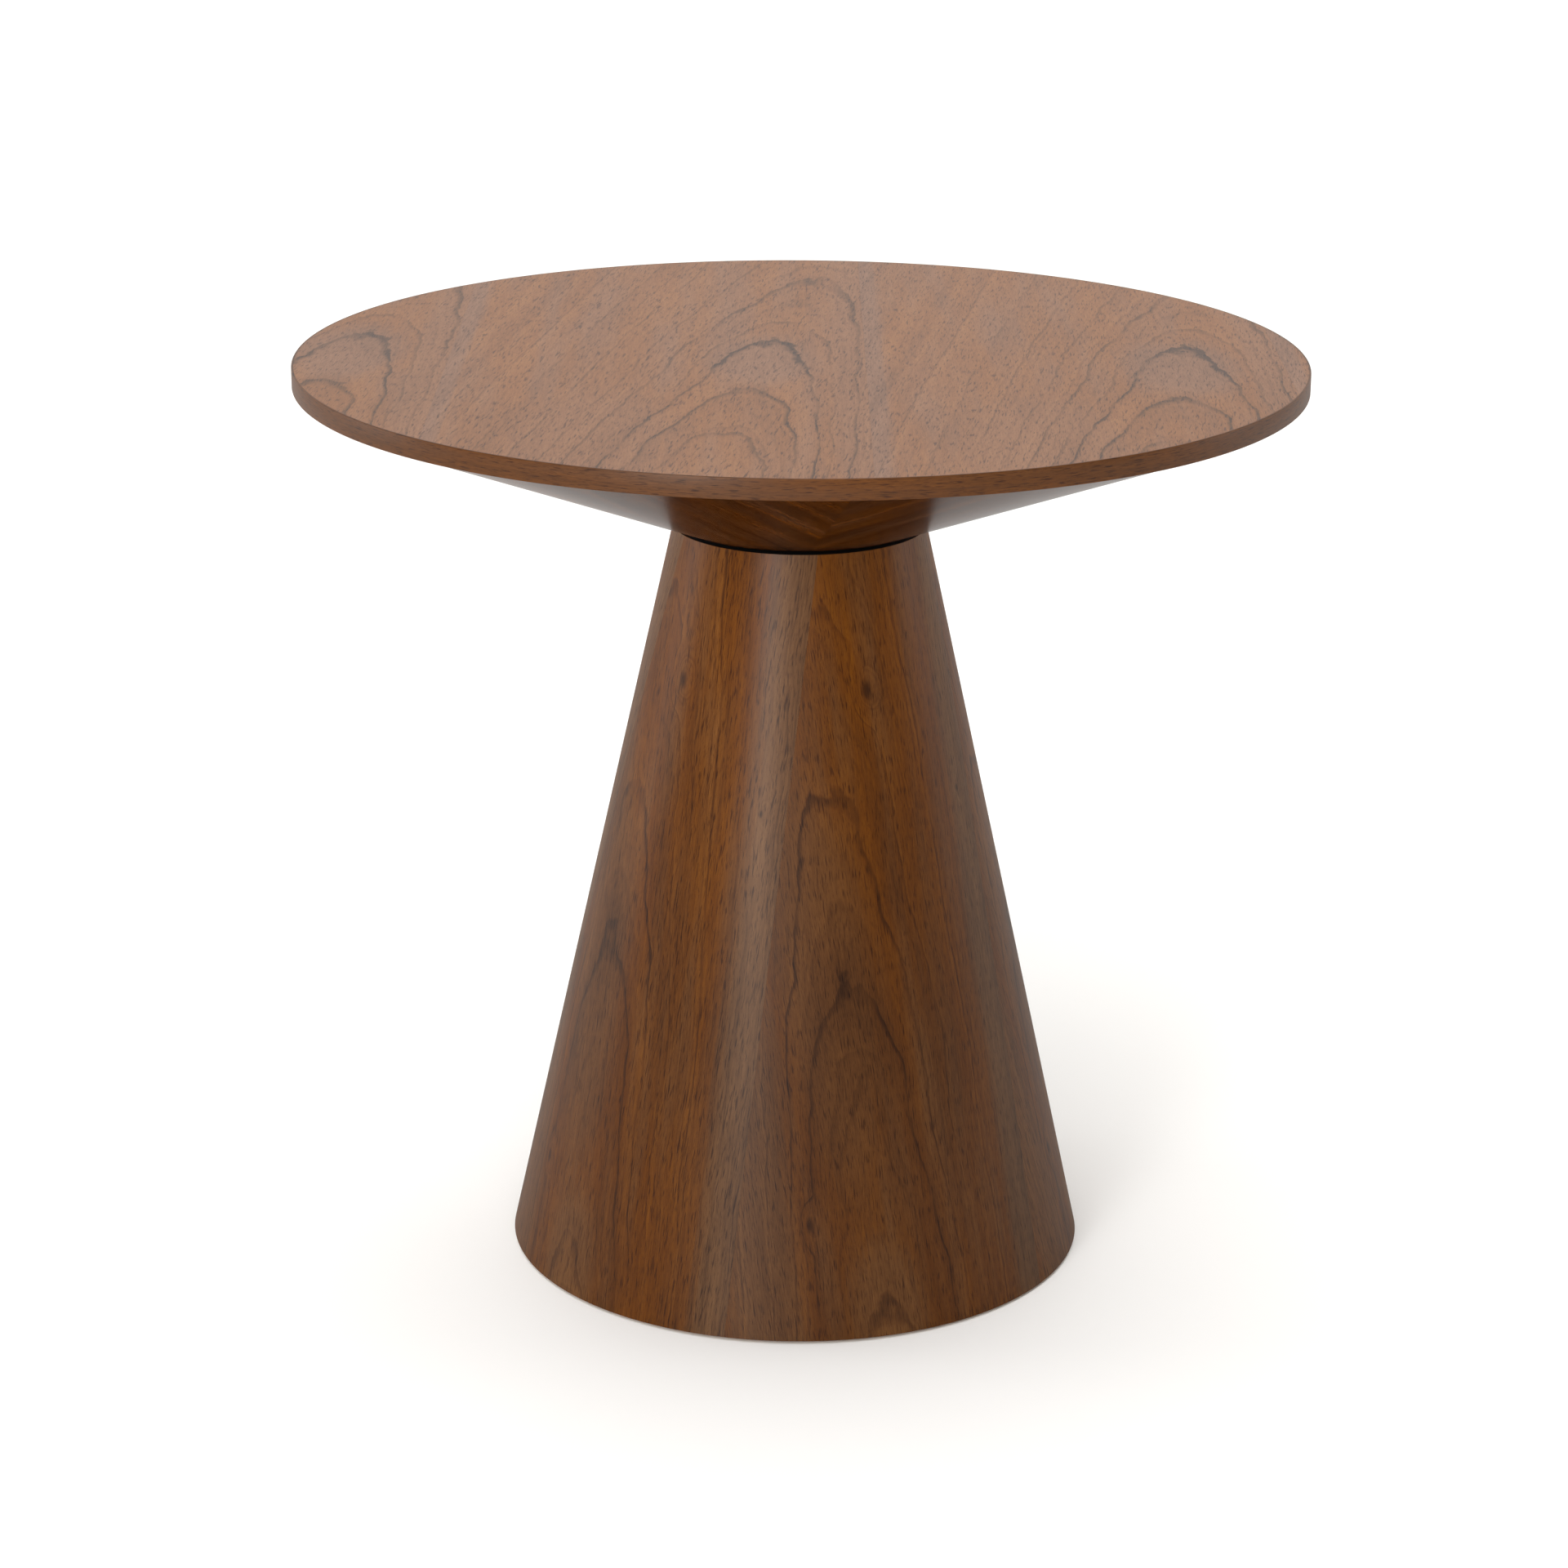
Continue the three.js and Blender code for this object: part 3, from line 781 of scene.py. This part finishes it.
def rounded(radius, z, edge, up):
    """Rows that round an outer corner: the upper one where up is 1, the lower where it is -1."""
    centre_radius = radius - edge
    centre_z = z - up * edge
    turns = [math.pi / 2 * i / CORNER_STEPS for i in range(CORNER_STEPS + 1)]
    rows = [(centre_radius + edge * math.cos(t), centre_z + up * edge * math.sin(t)) for t in turns]
    return rows if up > 0 else rows[::-1]


def drill(obj, places, rows):
    """Cuts the same turned shape out of a piece at several places."""
    for place in places:
        points, faces = revolved(rows, SMALL_SIDES, place)
        mesh = bpy.data.meshes.new("cutter")
        mesh.from_pydata(points, [], faces)
        cutter = bpy.data.objects.new("cutter", mesh)
        bpy.context.scene.collection.objects.link(cutter)
        cut = obj.modifiers.new("hole", "BOOLEAN")
        cut.object = cutter
        cut.operation = "DIFFERENCE"
        cut.solver = "EXACT"
        bpy.context.view_layer.update()
        graph = bpy.context.evaluated_depsgraph_get()
        drilled = bpy.data.meshes.new_from_object(obj.evaluated_get(graph))
        obj.modifiers.clear()
        obj.data = drilled
        bpy.data.objects.remove(cutter)
    merge_close_points(obj.data)
    smooth(obj.data)


def smooth(mesh):
    """Smooth shading that stops at sharp edges."""
    for polygon in mesh.polygons:
        polygon.use_smooth = True
    mesh.set_sharp_from_angle(angle=SHARP)


def merge_close_points(mesh):
    """Joins points that a cut left closer together than a hairline."""
    shape = bmesh.new()
    shape.from_mesh(mesh)
    bmesh.ops.remove_doubles(shape, verts=shape.verts, dist=HAIRLINE / 4)
    shape.to_mesh(mesh)
    shape.free()


# ---- top panel ----------------------------------------------------------------------------------
def top_panel():
    """The edge band, and the veneer leaves inside it."""
    low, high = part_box("top_edge_band")
    face_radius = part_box("top_core")[1].x + FACE_OVERHANG
    edge_band(high.x, face_radius + HAIRLINE, low.z, high.z)
    for leaf in range(TOP_LEAVES):
        top_leaf(leaf, face_radius, high.z)


def edge_band(radius, inside, bottom_z, top_z):
    """The band round the rim, with its two outer edges rounded."""
    rows = [
        (inside, bottom_z),
        *rounded(radius, bottom_z, BAND_EDGE, up=-1),
        *rounded(radius, top_z, BAND_EDGE, up=1),
        (inside, top_z),
    ]
    points, faces, sheet = banded(rows, radius)
    make_piece("top_band", points, faces, "walnut_edge_band", ["top_edge_band"], sheet=sheet)


def top_leaf(leaf, radius, top_z):
    """A strip of the disc. Its figure is slipped along from its neighbour's."""
    first_x = TOP_SEAM_X - TOP_LEAVES / 2 * TOP_LEAF_WIDTH
    left = first_x + leaf * TOP_LEAF_WIDTH + HAIRLINE / 2
    right = left + TOP_LEAF_WIDTH - HAIRLINE
    outline = leaf_outline(radius, left, right)
    count = len(outline)
    points = [(x, y, top_z) for x, y in outline]
    points += [(x, y, top_z - VENEER) for x, y in outline]
    faces = [list(range(count)), list(range(2 * count - 1, count - 1, -1))]
    for a in range(count):
        b = (a + 1) % count
        faces.append([b, a, a + count, b + count])
    centre = (left + right) / 2
    slip = (leaf - 1) * TOP_LEAF_SLIP
    sheet = [(x - centre, y + slip, leaf * VENEER) for x, y, _ in points]
    make_piece(
        f"top_face_{leaf + 1}", points, faces, "walnut_top_veneer",
        [f"top_veneer_leaf_{leaf + 1}"], sheet=sheet,
    )


def banded(rows, radius):
    """A closed outline swept once round the table, with a hairline joint at the back."""
    columns = ROUND_SIDES + 1
    gap = HAIRLINE / radius
    azimuth = np.linspace(-math.pi + gap, math.pi - gap, columns)
    points, sheet = [], []
    for r, z in rows:
        x, y = on_circle(r, azimuth)
        points += [(a, b, z) for a, b in zip(x, y)]
        sheet += [(z, radius * turn, radius - r) for turn in azimuth]
    count = len(rows)
    faces = []
    for i in range(count):
        low, high = i * columns, (i + 1) % count * columns
        for j in range(columns - 1):
            faces.append([low + j, low + j + 1, high + j + 1, high + j])
    faces.append([i * columns for i in range(count)])
    faces.append([i * columns + columns - 1 for i in range(count - 1, -1, -1)])
    return points, faces, sheet


def leaf_outline(radius, left, right):
    """The part of a disc between two lines, counter-clockwise."""
    left = max(left, -radius)
    right = min(right, radius)
    start, stop = math.asin(left / radius), math.asin(right / radius)
    steps = max(MIN_OUTLINE_STEPS, round((stop - start) * radius / OUTLINE_STEP))
    near = [start + (stop - start) * i / steps for i in range(steps + 1)]
    outline = [on_circle(radius, turn) for turn in near]
    outline += [(x, -y) for x, y in reversed(outline)]
    tidy = []
    for x, y in outline:
        if not tidy or math.dist(tidy[-1], (x, y)) > SAME_POINT:
            tidy.append((float(x), float(y)))
    if math.dist(tidy[0], tidy[-1]) < SAME_POINT:
        tidy.pop()
    return tidy


# ---- cone under the top -------------------------------------------------------------------------
def underside():
    """Wedges of veneer, each with its grain along its own middle, so they meet in a V."""
    names = [f"underside_veneer_leaf_{leaf + 1}" for leaf in range(CONE_LEAVES)]
    cone = Cone(*names)
    wedge = 2 * math.pi / CONE_LEAVES
    for leaf, name in enumerate(names):
        start = CONE_SEAM_AZIMUTH + leaf * wedge
        points, faces, sheet = bent_sheet(
            cone, 0.0, VENEER, lambda z: start, lambda z: start + wedge,
            ROUND_SIDES // CONE_LEAVES + 1, CONE_ROWS, start + wedge / 2,
        )
        sheet[:, 2] += leaf * CONE_LEAVES_APART * VENEER
        make_piece(
            f"underside_face_{leaf + 1}", points, faces, "walnut_underside_veneer", [name],
            sheet=sheet, shade=CONE_TONES_AND_PAINTED_SHADE[leaf],
        )


# ---- pedestal -----------------------------------------------------------------------------------
def pedestal():
    """Veneer leaves on two bent shells, held by a board at the neck and two rings."""
    names = [f"pedestal_veneer_leaf_{leaf + 1}" for leaf in range(PEDESTAL_LEAVES)]
    cone = Cone(*names)
    for leaf, name in enumerate(names):
        pedestal_leaf(cone, leaf, name)
    for half, side in enumerate(("front", "back")):
        pedestal_shell(cone, half, side)
    bore = VENEER + GLUE_LINE + PEDESTAL_PLY + BOARD_CLEARANCE
    cap_board(cone, bore)
    former_ring(cone, bore)
    foot_ring(cone, bore)


def pedestal_leaf(cone, leaf, name):
    """A leaf whose side seams stay a fixed distance from a line down the unrolled cone."""
    turn = 2 * math.pi / PEDESTAL_LEAVES

    def seam_at(z):
        wind = np.arcsin(PEDESTAL_SEAM_OFFSET * cone.sine / cone.radius(z)) / cone.sine
        return PEDESTAL_GRAIN_AZIMUTH + leaf * turn + wind

    axis = PEDESTAL_GRAIN_AZIMUTH + (leaf + 1) * turn
    points, faces, sheet = bent_sheet(
        cone, 0.0, VENEER, seam_at, lambda z: seam_at(z) + turn,
        ROUND_SIDES // PEDESTAL_LEAVES + 1, PEDESTAL_ROWS, axis,
    )
    sheet[:, 2] += leaf * VENEER
    # painted shade: the leaf is drawn darker further down, towards the foot
    low = (sheet[:, 1] - PEDESTAL_PAINTED_SHADE_START) / PEDESTAL_PAINTED_SHADE_LENGTH
    make_piece(
        f"pedestal_face_{leaf + 1}", points, faces, "walnut_pedestal_veneer", [name],
        sheet=sheet, shade=PEDESTAL_SHADES[leaf] - PEDESTAL_FOOT_PAINTED_SHADE * np.clip(low, 0, 1),
    )


def pedestal_shell(cone, half, side):
    """A bent plywood half shell under the veneer."""
    depth = VENEER + GLUE_LINE
    start = (half - 0.5) * math.pi
    points, faces, sheet = bent_sheet(
        cone, depth, depth + PEDESTAL_PLY, lambda z: start, lambda z: start + math.pi,
        ROUND_SIDES // 2 + 1, SHELL_ROWS, start + math.pi / 2,
    )
    make_piece(
        f"pedestal_ply_{side}", points, faces, "plywood", [f"pedestal_shell_{side}"],
        sheet=sheet,
    )


def cap_board(cone, bore):
    """The board across the pedestal's neck, with holes for the bolts."""
    low, high = levels("pedestal_top_plate")
    rows = [(0.0, low), *chamfered_side(cone, bore, low, high), (0.0, high)]
    plate = turned_piece("pedestal_cap_board", rows, "mdf", ["pedestal_top_plate"])
    drill(plate, fastener_places("neck_bolt"), [
        (0.0, low - DRILL_OVERSHOOT),
        (BOLT_HOLE_RADIUS, low - DRILL_OVERSHOOT),
        (BOLT_HOLE_RADIUS, high + DRILL_OVERSHOOT),
        (0.0, high + DRILL_OVERSHOOT),
    ])


def former_ring(cone, bore):
    """The ring that holds the shells to shape half-way up."""
    low, high = levels("pedestal_former")
    rows = [*chamfered_bore(FORMER_HOLE_RADIUS, low, high), *chamfered_side(cone, bore, low, high)]
    turned_piece("pedestal_former_ring", rows, "mdf", ["pedestal_former"], closed=True)


def foot_ring(cone, bore):
    """The ring in the foot, with a recess for each glide's pad and a hole for its nut."""
    low, high = levels("pedestal_base_ring")
    rows = [*chamfered_bore(BASE_HOLE_RADIUS, low, high), *chamfered_side(cone, bore, low, high)]
    base = turned_piece("pedestal_foot_ring", rows, "mdf", ["pedestal_base_ring"], closed=True)
    drill(base, fastener_places("glide_pad"), [
        (0.0, low - DRILL_OVERSHOOT),
        (GLIDE_RECESS_RADIUS, low - DRILL_OVERSHOOT),
        (GLIDE_RECESS_RADIUS, low + GLIDE_RECESS_DEPTH),
        (NUT_HOLE_RADIUS, low + GLIDE_RECESS_DEPTH),
        (NUT_HOLE_RADIUS, high + DRILL_OVERSHOOT),
        (0.0, high + DRILL_OVERSHOOT),
    ])


def levels(node):
    """The lowest and highest z of a CAD node."""
    low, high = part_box(node)
    return low.z, high.z


def chamfered_side(cone, depth, low, high):
    """Rows up a board's conical side, with its two edges broken."""
    return [
        (cone.radius(low, depth) - BOARD_EDGE, low),
        (cone.radius(low + BOARD_EDGE, depth), low + BOARD_EDGE),
        (cone.radius(high - BOARD_EDGE, depth), high - BOARD_EDGE),
        (cone.radius(high, depth) - BOARD_EDGE, high),
    ]


def chamfered_bore(radius, low, high):
    """Rows down a round hole through a board, with its two edges broken."""
    return [
        (radius + BORE_EDGE, high),
        (radius, high - BORE_EDGE),
        (radius, low + BORE_EDGE),
        (radius + BORE_EDGE, low),
    ]


def turned_piece(name, rows, slot, replaced, body=TABLE, sides=ROUND_SIDES // 2, **options):
    """A piece turned from rows, in the way that revolved reads them."""
    points, faces = revolved(rows, sides, **options)
    return make_piece(name, points, faces, slot, replaced, body)


# ---- fasteners and glides -----------------------------------------------------------------------
def centre_of(node):
    """The x and y of the middle of a CAD node's box."""
    low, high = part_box(node)
    return (low.x + high.x) / 2, (low.y + high.y) / 2


def half_width(node):
    """The radius of a round CAD node."""
    low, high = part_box(node)
    return (high.x - low.x) / 2


def fastener_places(start):
    return [centre_of(f"{start}_{i + 1}") for i in range(FASTENERS)]


def hexagon(corner_radius, limit=math.inf):
    """The radius of a hexagon at each side of a small turned body, cut to a circle of limit."""
    azimuth = np.arange(SMALL_SIDES) * 2 * math.pi / SMALL_SIDES
    sixth = math.pi / 3
    flat = corner_radius * math.cos(sixth / 2)
    return np.minimum(flat / np.cos((azimuth % sixth) - sixth / 2), limit)


def knurl(radius, depth):
    """A knurled side: every other point is cut in."""
    return radius - depth * (np.arange(SMALL_SIDES) % 2)


def thread(crest, low, high):
    """Rows of a screw thread between two heights, fading out at both ends."""
    azimuth = np.arange(SMALL_SIDES) / SMALL_SIDES
    rows = []
    for z in np.arange(low, high, THREAD_PITCH / THREAD_STEPS):
        wave = np.abs(((z - low) / THREAD_PITCH - azimuth) % 1.0 - 0.5) * 2
        fade = min(1.0, (z - low) / THREAD_PITCH, (high - z) / THREAD_PITCH)
        rows.append((crest - THREAD_DEPTH * wave * fade, z))
    return rows


def ring_rows(inner, outer, low, high, edge):
    """A flat ring's outline with its four edges broken."""
    return [
        (inner, high - edge),
        (inner, low + edge),
        (inner + edge, low),
        (outer - edge, low),
        (outer, low + edge),
        (outer, high - edge),
        (outer - edge, high),
        (inner + edge, high),
    ]


def bolt_rows(head, low, high):
    """A socket head bolt, head down: the key's recess, the knurled head, then the thread."""
    recess = hexagon(HEX_KEY_RADIUS)
    side = knurl(head, KNURL_DEPTH)
    head_top = low + BOLT_HEAD_HEIGHT
    return [
        (0.0, low + HEX_KEY_DEPTH + HEX_KEY_POINT),
        (recess, low + HEX_KEY_DEPTH),
        (recess, low + HEX_KEY_EDGE),
        (recess + HEX_KEY_EDGE, low),
        (head - BOLT_EDGE, low),
        (head - 0.2 * BOLT_EDGE, low + 0.4 * BOLT_EDGE),
        (side, low + 1.4 * BOLT_EDGE),
        (side, head_top - BOLT_NECK_EDGE),
        (head - BOLT_NECK_EDGE, head_top),
        (M8_RADIUS, head_top),
        *thread(M8_RADIUS, head_top + BOLT_SHANK, high - THREAD_RUNOUT),
        (M8_RADIUS - THREAD_DEPTH, high),
        (0.0, high),
    ]


def neck_fasteners():
    """The bolts that hold the top to the pedestal, and their washers."""
    for i, place in enumerate(fastener_places("neck_bolt"), start=1):
        bolt, washer = f"neck_bolt_{i}", f"neck_washer_{i}"
        turned_piece(
            f"neck_screw_{i}", bolt_rows(half_width(bolt), *levels(bolt)), "zinc_steel", [bolt],
            sides=SMALL_SIDES, centre=place,
        )
        rows = ring_rows(BOLT_HOLE_RADIUS, half_width(washer), *levels(washer), WASHER_EDGE)
        turned_piece(
            f"neck_washer_round_{i}", rows, "zinc_steel", [washer],
            sides=SMALL_SIDES, centre=place, closed=True,
        )


def pad_rows(radius, low, high):
    """A glide's pad, with the socket that its screw swivels in."""
    socket_z = high - GLIDE_SOCKET_DEPTH
    return [
        (0.0, low),
        (radius - PAD_FOOT_RING, low),
        *rounded(radius, low, PAD_FOOT_EDGE, up=-1),
        *rounded(radius - PAD_TAPER, high, PAD_TOP_EDGE, up=1),
        (GLIDE_SOCKET_RADIUS + SOCKET_EDGE, high),
        (GLIDE_SOCKET_RADIUS, high - SOCKET_EDGE),
        (GLIDE_SOCKET_RADIUS, socket_z),
        (0.0, socket_z),
    ]


def glide_screw_rows(low, collar_low, high):
    """A glide's screw: the pin in the pad, the hexagonal collar, then the thread."""
    collar_high = collar_low + HEX_COLLAR_HEIGHT
    side = hexagon(HEX_COLLAR_RADIUS)
    face = hexagon(HEX_COLLAR_RADIUS, COLLAR_FACE_RADIUS)
    return [
        (0.0, low),
        (GLIDE_PIN_RADIUS - STEM_EDGE, low),
        (GLIDE_PIN_RADIUS, low + STEM_EDGE),
        (GLIDE_PIN_RADIUS, collar_low),
        (face, collar_low),
        (side, collar_low + STEM_EDGE),
        (side, collar_high - STEM_EDGE),
        (face, collar_high),
        (M8_RADIUS - THREAD_DEPTH, collar_high),
        *thread(M8_RADIUS, collar_high + THREAD_RUNOUT, high - THREAD_RUNOUT),
        (M8_RADIUS - THREAD_DEPTH, high),
        (0.0, high),
    ]


def tee_nut_rows(flange, low, high):
    """A tee nut: a barrel with a flange on top and a tapped hole through it."""
    flange_low = high - NUT_FLANGE_THICKNESS
    return [
        (M8_TAPPED_RADIUS, high - NUT_EDGE),
        (M8_TAPPED_RADIUS, low + NUT_EDGE),
        (M8_TAPPED_RADIUS + NUT_EDGE, low),
        (NUT_BARREL_RADIUS - NUT_EDGE, low),
        (NUT_BARREL_RADIUS, low + NUT_EDGE),
        (NUT_BARREL_RADIUS, flange_low),
        (flange - NUT_EDGE, flange_low),
        (flange, flange_low + NUT_EDGE),
        (flange, high - NUT_EDGE),
        (flange - NUT_EDGE, high),
        (M8_TAPPED_RADIUS + NUT_EDGE, high),
    ]


def glides():
    """The levelling glides, each pad and each screw on a body of its own."""
    for i, place in enumerate(fastener_places("glide_pad"), start=1):
        pad, stem, nut = f"glide_pad_{i}", f"glide_stem_{i}", f"glide_nut_{i}"
        pad_low, pad_high = levels(pad)
        turned_piece(
            f"glide_pad_round_{i}", pad_rows(half_width(pad), pad_low, pad_high),
            "glide_nylon", [pad], body=f"glide_foot_{i}", sides=SMALL_SIDES, centre=place,
        )
        stem_low, stem_high = levels(stem)
        turned_piece(
            f"glide_screw_round_{i}",
            glide_screw_rows(stem_low, pad_high + GLIDE_GAP, stem_high),
            "zinc_steel", [stem], body=f"glide_screw_{i}", sides=SMALL_SIDES, centre=place,
        )
        turned_piece(
            f"glide_nut_round_{i}", tee_nut_rows(half_width(nut), *levels(nut)),
            "zinc_steel", [nut], sides=SMALL_SIDES, centre=place, closed=True,
        )


top_panel()
underside()
pedestal()
neck_fasteners()
glides()


# ---- CAD nodes that stay ------------------------------------------------------------------------
RIB_PLYWOOD = rib_plywood()
CAD_FINISHES = (
    ("top_core", "mdf", MATERIALS["mdf"]),
    ("top_backing", "backer_veneer", MATERIALS["backer_veneer"]),
    ("underside_shell", "plywood", RIB_PLYWOOD),
    ("underside_rib", "plywood", RIB_PLYWOOD),
    ("underside_hub", "mdf", MATERIALS["mdf"]),
    ("neck_plate", "mdf", MATERIALS["mdf"]),
    ("neck_spacer", "black_mdf", MATERIALS["black_mdf"]),
    ("neck_insert", "insert_brass", MATERIALS["insert_brass"]),
)


def dress_cad_nodes():
    """Gives each CAD node that is still shown its finish."""
    for name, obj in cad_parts.items():
        if obj.hide_render:
            continue
        slot, finish = next(
            (slot, finish) for start, slot, finish in CAD_FINISHES if name.startswith(start)
        )
        obj.data.materials.clear()
        obj.data.materials.append(finish)


dress_cad_nodes()


# ---- floor, light and camera --------------------------------------------------------------------
FLOOR_REACH = 40.0
LIGHT_AIM = Vector((0, 0, 0.3))
PANEL_DIRECTION = Vector((-0.18, -0.80, 0.55)).normalized()

# name, place, size and power
SOFTBOXES = (
    ("front_strip", (-1.35, -3.1, 1.1), (0.8, 1.5), 44),
    ("left_window", (-3.0, 0.6, 0.9), (1.2, 1.6), 17),
    ("right_window", (3.0, 0.6, 0.9), (1.2, 1.6), 10),
)


def floor():
    mesh = bpy.data.meshes.new("floor")
    signs = ((-1, -1), (1, -1), (1, 1), (-1, 1))
    corners = [(x * FLOOR_REACH, y * FLOOR_REACH, 0) for x, y in signs]
    mesh.from_pydata(corners, [], [(0, 1, 2, 3)])
    mesh.materials.append(floor_paint())
    obj = bpy.data.objects.new("floor", mesh)
    bpy.context.scene.collection.objects.link(obj)


def softbox(name, place, size, power):
    """A rectangular lamp that faces the table."""
    light = bpy.data.lights.new(name, "AREA")
    light.shape = "RECTANGLE"
    light.size, light.size_y = size
    light.energy = power
    obj = bpy.data.objects.new(name, light)
    obj.location = place
    obj.rotation_euler = (LIGHT_AIM - Vector(place)).to_track_quat("-Z", "Y").to_euler()
    bpy.context.scene.collection.objects.link(obj)


def studio():
    """A bright backdrop behind the table, less light at its sides, a bright ceiling, a panel
    above the camera, and the softboxes."""
    world = bpy.data.worlds.new("studio")
    world.use_nodes = True
    g = Graph.of_world(world)
    direction = g.add("ShaderNodeTexCoord", output="Generated")
    x, y, z = g.parts(direction)
    behind = y.step(-0.1, 0.65)
    left = x.step(-0.35, -0.95)
    right = x.step(0.4, 0.95)
    low = z.step(0.6, 0.1)
    aim = PANEL_DIRECTION
    toward = x * aim.x + y * aim.y + z * aim.z
    panel = toward.step(0.80, 0.93) * 2.3
    ceiling = (z * 0.97 + y * 0.24).step(0.62, 0.85) * 1.9
    strength = low * (behind * 1.9 + left * 0.3 + right * 0.12) + ceiling + panel + 0.03
    background = g.add("ShaderNodeBackground", {"Color": srgb("fffefc"), "Strength": strength})
    g.add("ShaderNodeOutputWorld", {"Surface": background})
    bpy.context.scene.world = world
    for name, place, size, power in SOFTBOXES:
        softbox(name, place, size, power)


def camera():
    """The photograph's view: level across but for the roll, and pitched down at the table."""
    forward = Vector((0, math.cos(CAMERA_PITCH), -math.sin(CAMERA_PITCH)))
    level = Vector((1, 0, 0))
    down = forward.cross(level)
    right = math.cos(CAMERA_ROLL) * level + math.sin(CAMERA_ROLL) * down
    up = math.sin(CAMERA_ROLL) * level - math.cos(CAMERA_ROLL) * down
    data = bpy.data.cameras.new("camera")
    data.lens = CAMERA_LENS
    data.sensor_width = CAMERA_SENSOR
    data.clip_end = CAMERA_REACH
    obj = bpy.data.objects.new("camera", data)
    obj.matrix_world = Matrix.Translation(CAMERA_PLACE) @ Matrix(
        (right, up, -forward)
    ).transposed().to_4x4()
    bpy.context.scene.collection.objects.link(obj)
    bpy.context.scene.camera = obj


floor()
studio()
camera()
bpy.context.scene.view_settings.view_transform = "Standard"
